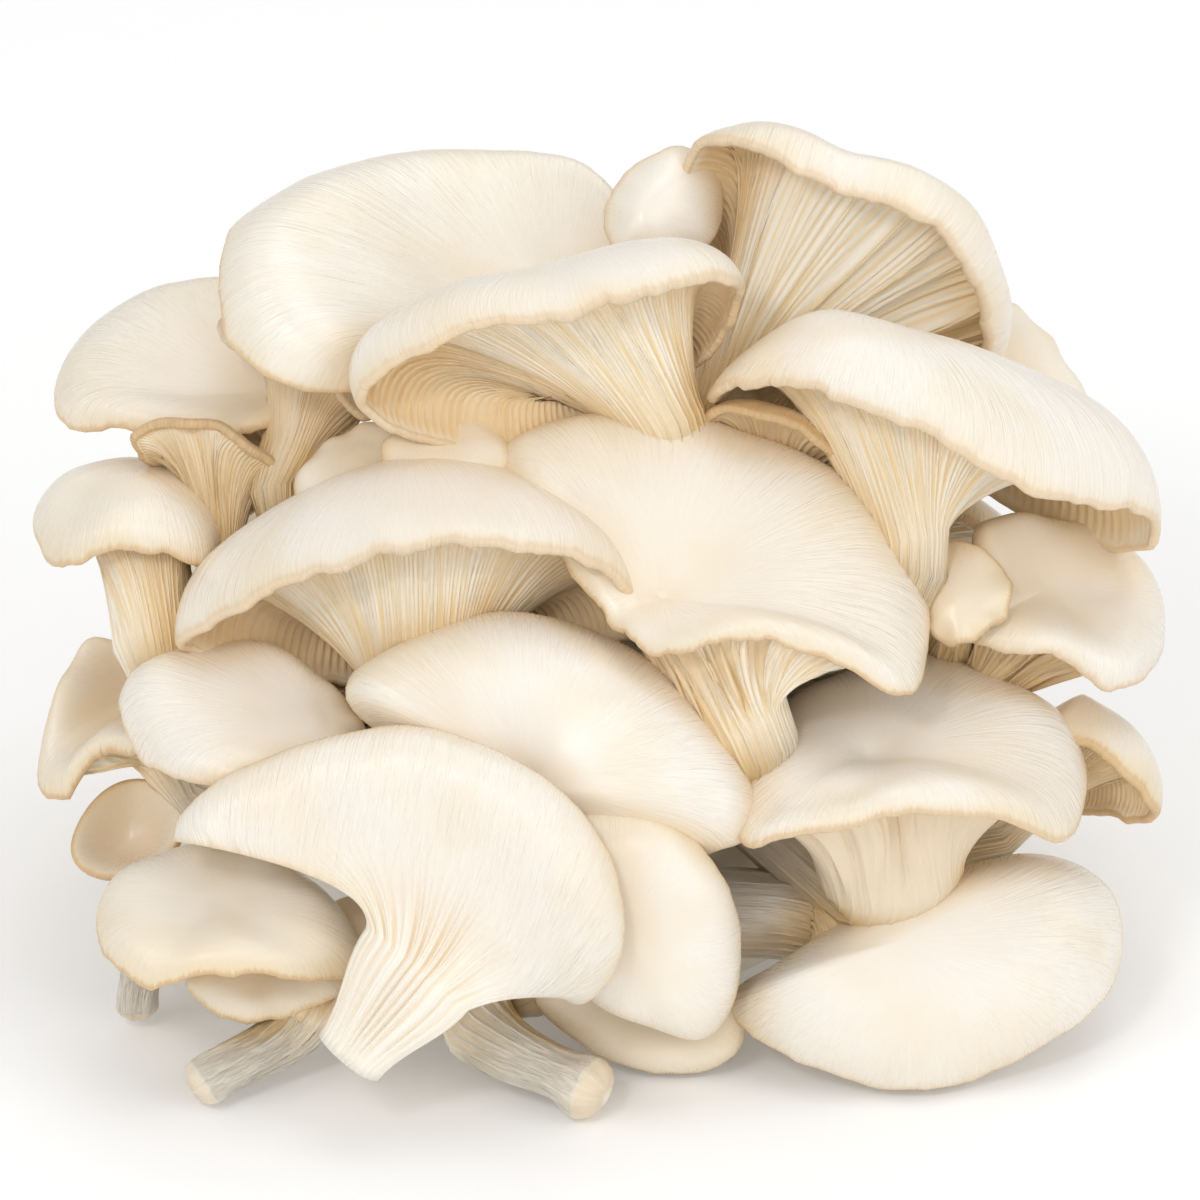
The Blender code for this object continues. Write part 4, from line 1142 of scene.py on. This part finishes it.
@dataclass
class Butt:
    """The lump of grown-together stem bases, with its flat cut underside on the floor."""

    profile: tuple[tuple[float, float], ...] = ((30, 0), (33, 3), (35, 20), (32, 42), (24, 60), (10, 70))
    columns: int = 120
    rings: int = 28
    wider: float = 1.2
    forward: float = 6.0

    def build(self, seed: int) -> bpy.types.Object:
        """Makes the lump.

        Args:
            seed: what its unevenness starts from.

        Returns:
            The piece.
        """
        phase = np.random.default_rng(seed).uniform(0, 2 * math.pi)
        turns = np.arange(self.columns) * 2 * math.pi / self.columns
        radii, heights = (np.array(values, float) for values in zip(*self.profile))
        along = np.append(0, np.cumsum(np.hypot(np.diff(radii), np.diff(heights))))
        rings = []
        for at in np.linspace(0, along[-1], self.rings):
            radius, height = np.interp(at, along, radii), np.interp(at, along, heights)
            waves = 1 + 0.06 * np.cos(3 * turns + 0.7) + 0.04 * np.cos(5 * turns)
            waves += 0.02 * np.sin(11 * turns + 0.1 * height + phase) * smooth(height / 10)
            x = self.wider * radius * waves * np.cos(turns)
            y = radius * waves * np.sin(turns) - self.forward
            rings.append(np.stack([x, y, np.full_like(x, height)], axis=-1))
        numbers = [np.arange(i * self.columns, (i + 1) * self.columns) for i in range(self.rings)]
        faces = [tuple(numbers[0][::-1].tolist()), tuple(numbers[-1].tolist())]
        for a, b in zip(numbers, numbers[1:]):
            faces += bridge(a, b)
        piece = new_piece("butt", np.vstack(rings) * MM, faces)
        stem = np.ones(len(piece.data.vertices), np.float32)
        piece.data.attributes.new("stem", "FLOAT", "POINT").data.foreach_set("value", stem)
        return piece

    def dress(self, piece: bpy.types.Object, materials: dict[str, bpy.types.Material]) -> None:
        """Gives the lump its flesh."""
        piece.data.materials.append(materials[CREAM.name])
        stand_for(piece, Bunch.MAIN)


@dataclass
class Studio:
    """The white floor, the soft lights and the camera."""

    floor_side: float = 12.0
    distance: float = 2.4
    view_width: float = 0.240
    sensor: float = 36.0
    aim: Place = (0.0, 63.6, 50.0)
    sky: float = 0.48
    lit: Place = (0.0, 0.0, 0.07)
    clip_end: float = 50.0
    lamps: tuple[tuple[str, Place, float, float], ...] = (
        ("key_light", (0.35, 0.2, 2.1), 1.3, 8.0),
        ("front_light", (-0.2, -2.0, 1.0), 1.5, 5.5),
        ("right_light", (1.5, -1.0, 1.1), 1.4, 10.0),
        ("left_light", (-1.4, -0.9, 1.2), 1.2, 5.5),
        ("back_light", (0.4, 1.3, 1.7), 1.2, 6.0),
        ("sheen_light", (-0.6, -1.3, 1.5), 0.3, 5.5),
    )

    def build(self) -> bpy.types.Object:
        """Sets up the lights and the camera.

        Returns:
            The floor.
        """
        half = self.floor_side / 2
        corners = np.array([(-half, -half, 0), (half, -half, 0), (half, half, 0), (-half, half, 0)])
        floor = new_piece("floor", corners, [(0, 1, 2, 3)])
        for lamp in self.lamps:
            self.light(*lamp)
        self.set_sky()
        self.set_camera()
        return floor

    def light(self, name: str, place: Place, side: float, power: float) -> None:
        """Adds a square soft light that looks at the heap.

        Args:
            name: the light's name.
            place: where it hangs, in metres.
            side: its size in metres.
            power: its power in watts.
        """
        data = bpy.data.lights.new(name, "AREA")
        data.size, data.energy = side, power
        lamp = bpy.data.objects.new(name, data)
        lamp.location = place
        lamp.rotation_mode = "QUATERNION"
        lamp.rotation_quaternion = (Vector(self.lit) - Vector(place)).to_track_quat("-Z", "Y")
        bpy.context.scene.collection.objects.link(lamp)

    def set_sky(self) -> None:
        """Lights the scene evenly from all round."""
        world = bpy.data.worlds.new("studio")
        world.use_nodes = True
        background = world.node_tree.nodes["Background"].inputs
        background["Color"].default_value = (1.0, 1.0, 1.0, 1.0)
        background["Strength"].default_value = self.sky
        bpy.context.scene.world = world
        bpy.context.scene.view_settings.view_transform = "Standard"

    def set_camera(self) -> None:
        """Looks at the heap from the front and above."""
        data = bpy.data.cameras.new("camera")
        data.sensor_width = self.sensor
        data.lens = self.sensor * self.distance / self.view_width
        data.clip_end = self.clip_end
        camera = bpy.data.objects.new("camera", data)
        back = Vector((0, -math.cos(TILT), math.sin(TILT)))
        camera.location = Vector(to_world(np.array(self.aim)).tolist()) + back * self.distance
        camera.rotation_mode = "QUATERNION"
        camera.rotation_quaternion = (-back).to_track_quat("-Z", "Y")
        bpy.context.scene.collection.objects.link(camera)
        bpy.context.scene.camera = camera

    def dress(self, floor: bpy.types.Object) -> None:
        """Gives the floor its white."""
        floor.data.materials.append(WhiteSweep().material())


@dataclass
class Crevices:
    """How closely the flesh of the heap closes in round each place, read from a grid of where skins lie, for
    the painted shade in its crevices.
    """

    cell: float = 0.002
    spread: int = 3
    stand_off: float = 0.005
    open_share: float = 0.13
    closed_share: float = 0.32

    def build(self, pieces: list[bpy.types.Object]) -> None:
        """Stores on every piece how enclosed its points are, from 0 in the open to 1, as its share of
        painted crevice shade.

        Args:
            pieces: every piece of the heap.
        """
        places = [self.read(piece, "co") for piece in pieces]
        whole = np.vstack(places)
        pad = 12 * self.cell
        self.corner = whole.min(0) - pad
        self.size = tuple(((whole.max(0) + pad - self.corner) / self.cell).astype(int) + 1)
        self.grid = np.zeros(self.size)
        self.grid[tuple(((whole - self.corner) / self.cell).astype(int).T)] = 1
        for axis in (0, 1, 2, 0, 1, 2):
            self.blur(axis)
        for piece, place in zip(pieces, places):
            shares = self.sample(place + self.read(piece, "normal") * self.stand_off)
            closed = smooth((shares - self.open_share) / (self.closed_share - self.open_share))
            attribute = piece.data.attributes.new("crevice_shade", "FLOAT", "POINT")
            attribute.data.foreach_set("value", closed.astype(np.float32))

    def read(self, piece: bpy.types.Object, kind: str) -> np.ndarray:
        """The places or the normals of a piece's points."""
        values = np.empty(len(piece.data.vertices) * 3)
        piece.data.vertices.foreach_get(kind, values)
        return values.reshape(-1, 3)

    def blur(self, axis: int) -> None:
        """Evens the grid out along one axis."""
        reach = range(-self.spread, self.spread + 1)
        self.grid = sum(np.roll(self.grid, step, axis) for step in reach) / len(reach)

    def sample(self, places: np.ndarray) -> np.ndarray:
        """Reads the grid between its cells.

        Args:
            places: where, in metres.

        Returns:
            One share a place.
        """
        at = np.clip((places - self.corner) / self.cell - 0.5, 0, np.array(self.size) - 2)
        low = at.astype(int)
        part = at - low
        total = np.zeros(len(places))
        for step in np.ndindex(2, 2, 2):
            weight = np.prod(np.where(np.array(step), part, 1 - part), axis=1)
            total += weight * self.grid[tuple((low + step).T)]
        return total


def upper_caps() -> list[Mushroom]:
    """The caps at the top of the heap."""
    return [
        Mushroom("cap_top_left", Bunch.MAIN, hub=(-8, 120, 38), neck=(-4, 92, 34), foot=ground(-6, 6),
                 margin=((-76, 129, 54), (-74, 116, 62), (-64, 107, 67), (-47, 104, 61), (-26, 108, 50),
                 (0, 116, 44), (8, 132, 38), (3, 145, 30), (-9, 154, 20), (-38, 153.5, 14), (-59, 149, 26),
                 (-73, 139.5, 42)), curl=66),
        Mushroom("cap_left_behind", Bunch.MAIN, hub=(-50, 118, 30), neck=(-62, 90, 46), foot=ground(-10, 8),
                 margin=((-76, 118, 46), (-66, 113, 54), (-54, 110, 56), (-46, 100, 52), (-40, 108, 44),
                 (-44, 122, 34), (-58, 128, 32), (-72, 124, 38)), curl=30, bulge=0.25, grooved=0.55,
                 finish=PALE),
        Mushroom("cap_top_right", Bunch.MAIN, hub=(30, 120, 12), neck=(20, 98, 42), foot=ground(0, 10),
                 margin=((17, 132, 34), (16.6, 142, 39), (16.6, 150, 44), (19, 155.6, 49), (25, 156.6, 52),
                 (31, 154.8, 56), (39, 150.2, 60), (47, 145.2, 62), (55, 143, 62), (63, 140.4, 60),
                 (71, 135, 54), (76, 126, 47), (78.5, 115.5, 39), (74, 106, 26), (50, 100, 15),
                 (27, 106, 18), (17, 121, 28)), curl=128, bulge=0.42, neck_radius=8,
                 rolls=(((18, 149, 44), 21, -74),), detail=Detail.FULL, finish=PALE),
        Mushroom("cap_top_mid", Bunch.MAIN, hub=(11, 143, 50), neck=(10, 124, 34), foot=ground(0, 8),
                 margin=((1, 141, 44), (4, 148, 42), (10, 153, 41), (17, 155, 40), (24, 150, 38),
                 (24, 137, 38), (13, 130, 44), (3, 132, 46)), curl=60, grooved=0.5, detail=Detail.SMALL,
                 finish=PALE),
        Mushroom("cap_upper_front", Bunch.MAIN, hub=(-4, 130, 62), neck=(13, 98, 58), foot=ground(0, -2),
                 margin=((-49, 104, 76), (-33, 115, 86), (-8, 120, 90), (20, 127, 84), (29, 126, 72),
                 (23, 114, 56), (4, 102, 54), (-18, 94, 62), (-38, 95, 68)), curl=95, bulge=0.42,
                 neck_radius=9, detail=Detail.FULL, finish=PALE),
        Mushroom("cap_right_front", Bunch.MAIN, hub=(52, 120, 56), neck=(61, 74, 64), foot=ground(6, -2),
                 margin=((21, 104, 66), (33, 107.5, 78), (52, 102.5, 86), (70, 93.5, 88), (88, 85.5, 82),
                 (103, 83, 70), (111, 79, 58), (109.5, 73, 46), (92, 78, 34), (70, 88, 28), (46, 98, 30),
                 (28, 104, 45)), curl=80, bulge=0.36, neck_radius=8.5, detail=Detail.FULL, finish=PALE),
        Mushroom("cap_mid_back", Bunch.MAIN, hub=(37, 93, 45), neck=(35, 76, 42), foot=ground(4, 4),
                 margin=((20, 100, 60), (30, 103, 64), (42, 98, 66), (52, 91, 62), (52, 84, 50),
                 (42, 84, 38), (25, 92, 42)), curl=60, detail=Detail.SMALL, finish=TAN),
    ]


def left_caps() -> list[Mushroom]:
    """The caps at the left of the heap."""
    return [
        Mushroom("cap_left", Bunch.MAIN, hub=(-67, 106, 34), neck=(-58, 84, 30), foot=ground(-14, 6),
                 margin=((-110, 107, 24), (-108, 99.5, 34), (-94, 98, 42), (-76, 95.5, 46), (-62, 102, 46),
                 (-56, 117, 34), (-72, 128, 16), (-90, 127, 8), (-103, 119, 12)), curl=60),
        Mushroom("cap_left_mid", Bunch.MAIN, hub=(-94, 91, 40), neck=(-88, 55, 52), foot=ground(-16, 2),
                 margin=((-114, 80, 42), (-109, 71, 56), (-99, 73, 64), (-87, 74, 64), (-77, 71, 56),
                 (-77, 82, 34), (-92, 88, 22), (-107, 86, 28)), curl=88, bulge=0.4, neck_radius=9.5),
        Mushroom("cap_left_small", Bunch.MAIN, hub=(-76, 91, 40), neck=(-76, 74, 46), foot=ground(-12, 4),
                 margin=((-94, 96, 46), (-87, 100, 51), (-77, 99, 54), (-67, 93, 54), (-62, 85, 48),
                 (-68, 82, 40), (-82, 88, 34)), curl=45, bulge=0.25, neck_radius=4.5, finish=TAN),
        Mushroom("cap_mid_left", Bunch.MAIN, hub=(-38, 91, 62), neck=(-36, 42, 66), foot=ground(-6, -6),
                 margin=((-85, 55, 66), (-72, 63, 80), (-58, 69, 88), (-40, 74, 92), (-20, 75, 90),
                 (-2, 72, 84), (9, 62, 74), (2, 54, 60), (-24, 48, 52), (-50, 46, 54), (-70, 51, 58)),
                 curl=95, bulge=0.42, neck_radius=9, detail=Detail.FULL, finish=PALE),
        Mushroom("cap_left_front", Bunch.MAIN, hub=(-58, 40, 74), neck=(-52, 26, 56), foot=ground(-10, -6),
                 margin=((-96, 43, 62), (-89, 51, 56), (-74, 54, 52), (-58, 50, 58), (-46, 38, 72),
                 (-54, 29, 84), (-74, 26, 84), (-89, 31, 76)), curl=72, finish=PALE),
        Mushroom("cap_left_low", Bunch.MAIN, hub=(-92, 46, 36), neck=(-84, 30, 44), foot=ground(-14, 2),
                 margin=((-101, 56, 36), (-110, 42, 42), (-113, 27, 44), (-107, 24, 50), (-98, 34, 54),
                 (-84, 32, 60), (-82, 46, 42)), curl=60, detail=Detail.SMALL, finish=TAN),
        Mushroom("cap_left_lower", Bunch.MAIN, hub=(-94.5, 15, 38), neck=(-91, 4, 38),
                 foot=(-93, -17.5, 41), margin=((-105.5, 12, 46), (-103, 22, 44), (-94, 28, 41),
                 (-84, 24, 44), (-86, 12, 50), (-98, 8, 50)), curl=24, bulge=0.2, foot_radius=4,
                 neck_radius=5, ruffle=(0.3, 4, 0), blunt=2.5, grooved=0.0, flesh=2.4, detail=Detail.SMALL,
                 finish=TAN),
        Mushroom("cap_small_a", Bunch.MAIN, hub=(-31, 97, 64), neck=(-30, 78, 56), foot=ground(-4, -2),
                 margin=((-44, 93, 64), (-38, 99, 58), (-28, 101.5, 56), (-19, 97, 60), (-18, 88, 68),
                 (-36, 85, 70)), curl=60, detail=Detail.SMALL, finish=TAN),
        Mushroom("cap_small_b", Bunch.MAIN, hub=(-48, 93, 58), neck=(-46, 74, 52), foot=ground(-6, 0),
                 margin=((-61, 87, 56), (-54, 96, 52), (-43, 100, 52), (-34, 93, 58), (-44, 83, 66),
                 (-57, 79, 64)), curl=60, detail=Detail.SMALL),
    ]


def middle_caps() -> list[Mushroom]:
    """The caps in the middle and at the right of the heap."""
    return [
        Mushroom("cap_centre", Bunch.MAIN, hub=(12, 64, 76), neck=(28, 37, 75), foot=ground(2, -8),
                 margin=((-21, 91, 64), (-8, 99, 58), (8, 101, 54), (24, 98.5, 54), (41, 92, 57),
                 (57, 80, 61), (65, 65, 67), (65, 54, 74), (61, 44, 84), (49, 50, 92), (32, 56, 96),
                 (12, 53, 90), (2, 60, 80), (-10, 76, 74)), curl=70, dish=28, bulge=0.3, neck_radius=11,
                 detail=Detail.FULL),
        Mushroom("cap_mid_front", Bunch.MAIN, hub=(-14, 28, 84), neck=(-14, 14, 66), foot=ground(-2, -10),
                 margin=((-51, 45, 82), (-40, 55, 76), (-24, 61, 70), (-8, 60, 70), (8, 53, 72),
                 (22, 41, 78), (30, 27, 82), (30, 18, 82), (24, 14, 82), (8, 13, 80), (-12, 16, 80),
                 (-34, 30, 82)), curl=70, dish=18, finish=PALE),
        Mushroom("cap_right_mid", Bunch.MAIN, hub=(54, 32, 74), neck=(58, 10, 60), foot=ground(6, -6),
                 margin=((26, 30, 72), (28, 15, 86), (38, 17.5, 92), (50, 20, 94), (66, 22.5, 92),
                 (80, 19.5, 86), (92, 16, 76), (97, 26, 62), (94.5, 37, 50), (82, 45, 44), (66, 50, 42),
                 (50, 48, 44), (38, 43, 52)), curl=70, dish=18, bulge=0.34, neck_radius=15, foot_radius=8,
                 dents=(((32, 25, 90), 5, 2.5), ((40, 26.5, 92), 5, 2.5), ((48, 29, 92), 5, 2)),
                 grooved=0.2, finish=SHADED_UNDERSIDE),
        Mushroom("cap_right", Bunch.MAIN, hub=(90, 66, 50), neck=(76, 46, 44), foot=ground(10, 2),
                 margin=((74, 56, 64), (76, 62, 62), (74.5, 78, 50), (86, 80.5, 40), (100, 78, 34),
                 (110, 70, 34), (113, 60, 40), (112.5, 52.5, 50), (104.5, 46, 60), (93, 51, 64),
                 (84, 53.5, 66)), curl=68, finish=PALE),
        Mushroom("cap_right_curl", Bunch.MAIN, hub=(71, 64, 68), neck=(70, 54, 48), foot=ground(8, 0),
                 margin=((62, 71, 62), (70, 76, 58), (77, 73, 60), (82, 67.5, 63), (80, 61, 67),
                 (75, 57, 69), (69, 55.5, 69), (63, 60, 66)), curl=35, dish=0, bulge=0.22, neck_radius=5,
                 detail=Detail.SMALL),
        Mushroom("cap_right_low", Bunch.MAIN, hub=(97, 44, 42), neck=(84, 22, 44), foot=ground(10, -2),
                 margin=((87, 38, 56), (94, 36.5, 59), (102, 31, 60), (109, 26, 58), (111.5, 20.5, 53),
                 (109, 18.5, 48), (103, 20.5, 42), (97, 21, 38), (90, 26, 34), (84, 36, 34)), curl=72,
                 bulge=0.44, neck_radius=6, finish=TAN),
        Mushroom("cap_right_back", Bunch.MAIN, hub=(84, 108, 16), neck=(72, 92, 14), foot=ground(8, 10),
                 margin=((82, 124, 14), (92, 116, 8), (99, 104, 8), (98, 92, 20), (84, 90, 36),
                 (70, 98, 36), (70, 114, 24)), curl=62),
    ]


def front_caps() -> list[Mushroom]:
    """The caps that lie in front of the heap."""
    return [
        Mushroom("cap_low_left", Bunch.LOW_LEFT, hub=(-76, 4, 76), neck=(-72, -6, 60),
                 foot=(-62.4, -14.3, 56.4), margin=((-100, 2, 66), (-97, 8, 62), (-90, 12, 60),
                 (-80, 14.5, 60), (-64, 12, 65), (-52.5, 4, 70), (-46, -9, 76), (-56, -11.5, 80),
                 (-70, -10, 84), (-80, -10.8, 83), (-88, -13, 80), (-95, -10, 76), (-99.5, -4, 71)),
                 curl=72, foot_way=(-0.5, 0.5, 0.5), finish=TAN),
        Mushroom("cap_low_left_under", Bunch.LOW_LEFT, hub=(-66, -8, 64), neck=(-62, -8, 52),
                 foot=(-58, -10, 48), margin=((-82, -11, 64), (-80, -16, 66), (-74, -19.5, 66),
                 (-67, -20, 66), (-59, -18, 66), (-51, -13.5, 68), (-54, -4, 62), (-70, -3, 58)), curl=60,
                 foot_way=(-0.4, 0, 1), detail=Detail.SMALL),
        Mushroom("stem_low_left", Bunch.LOW_LEFT, hub=(-50, -4, 66), neck=(-58, -18, 61),
                 foot=(-78.5, -32, 66.5), margin=((-60, -2, 62), (-52, 4, 58), (-40, 4, 58), (-36, -6, 62),
                 (-44, -12, 68), (-56, -10, 68)), curl=50, neck_radius=6.5, foot_radius=4.8,
                 foot_way=(0.75, 0.5, -0.1), blunt=3, detail=Detail.SMALL),
        Mushroom("cap_low_mid", Bunch.LOW_MIDDLE, hub=(4, 0, 88), neck=(-4, -8, 64), foot=(-14, -14, 56),
                 margin=((-5, 21, 86), (8, 22, 87), (18, 17, 86), (26, 6, 80), (28, -6, 74), (26, -18, 68),
                 (20, -24, 68), (10, -21, 72), (-2, -16, 76), (-8, -4, 78), (-8, 10, 80)), curl=72,
                 foot_way=(0.4, 0.2, 0.8), finish=PALE),
        Mushroom("cap_low_mid_under", Bunch.LOW_MIDDLE, hub=(8, -14, 62), neck=(2, -12, 50),
                 foot=(-8, -14, 48), margin=((-14, -13, 64), (-8, -22, 62), (4, -29, 59), (18, -31, 58),
                 (28, -26, 58), (28, -15, 58), (12, -6, 58), (-6, -4, 60)), curl=70,
                 foot_way=(0.4, 0.2, 0.8), detail=Detail.SMALL),
        Mushroom("stem_low_mid", Bunch.LOW_MIDDLE, hub=(-34, -10, 58), neck=(-24, -21, 62),
                 foot=(-3, -33, 71), margin=((-46, -4, 60), (-36, 2, 56), (-24, 0, 54), (-20, -10, 58),
                 (-28, -18, 64), (-42, -14, 64)), curl=50, neck_radius=8, foot_radius=5,
                 foot_way=(-0.8, 0.4, -0.3), blunt=4.5, knob=0.34, detail=Detail.SMALL, finish=TAN),
        Mushroom("cap_low_right", Bunch.LOW_RIGHT, hub=(60, -4, 72), neck=(50, -1, 52), foot=(20, 1, 49),
                 margin=((25, -16, 60), (38, -7, 60), (52, 2, 58), (70, 10, 54), (88, 13, 50), (101, 7, 47),
                 (105, -4, 49), (101, -16, 54), (89, -25, 58), (74, -32, 62), (60, -34, 64), (44, -30, 64),
                 (33, -25, 62)), curl=72, neck_radius=9, foot_radius=9, foot_way=(1, 0, 0), finish=PALE),
    ]


def back_caps() -> list[Mushroom]:
    """The caps at the back of the heap, which face away from the front."""
    return [
        oval_cap("cap_back_mid", (4, 62, 84), (0.05, 0.75, 0.65), (0, 0.6, -0.7), 62, 76, ground(0, 14)),
        oval_cap("cap_back_left", (-56, 52, 52), (-0.45, 0.75, 0.5), (-0.5, 0.4, -0.6), 58, 70,
                 ground(-10, 14)),
        oval_cap("cap_back_right", (62, 44, 60), (0.5, 0.7, 0.5), (0.5, 0.5, -0.6), 58, 72, ground(10, 14)),
        oval_cap("cap_back_low", (8, 66, 34), (0.1, 0.8, 0.55), (0.1, 0.6, -0.7), 46, 60,
                 ground(4, 18, 24)),
        oval_cap("cap_back_low_right", (64, 42, 22), (0.6, 0.6, 0.55), (0.6, 0.3, -0.4), 36, 46,
                 ground(14, 12, 18)),
    ]


def front_fan() -> Fan:
    """The fan that lies in front, seen from its top."""
    return Fan("cap_front", Bunch.FAN, foot=(-49.5, -26.5, 84), neck=(-36, -9, 90),
               margin=((-84, 16, 86), (-82, 21, 85), (-74, 27.5, 86), (-58, 34.5, 88), (-40, 37.5, 90),
                       (-22, 34, 92), (-8, 25.5, 93), (1, 13, 94), (3.4, 0, 93), (2, -9, 91), (-3, -15, 89),
                       (-8, -14.5, 88)))


def every_mushroom() -> list[Mushroom]:
    """Every fruit body of the cluster."""
    return upper_caps() + left_caps() + middle_caps() + front_caps() + back_caps()


def corners(box: tuple[Vector, Vector]) -> list[list[float]]:
    """A box as plain lists."""
    return [list(corner) for corner in box]


def main() -> None:
    """Builds the cluster and the studio."""
    logging.basicConfig(level=logging.INFO, format="%(message)s")
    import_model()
    materials = {finish.name: finish.material() for finish in (PALE, CREAM, TAN, SHADED_UNDERSIDE)}
    parts = [Butt(), *every_mushroom(), front_fan()]
    pieces = [part.build(seed) for seed, part in enumerate(parts)]
    # Stores how enclosed each point is, for the painted crevice shade.
    Crevices().build(pieces)
    for part, piece in zip(parts, pieces):
        part.dress(piece, materials)
    studio = Studio()
    studio.dress(studio.build())


if __name__ == "__main__":
    main()
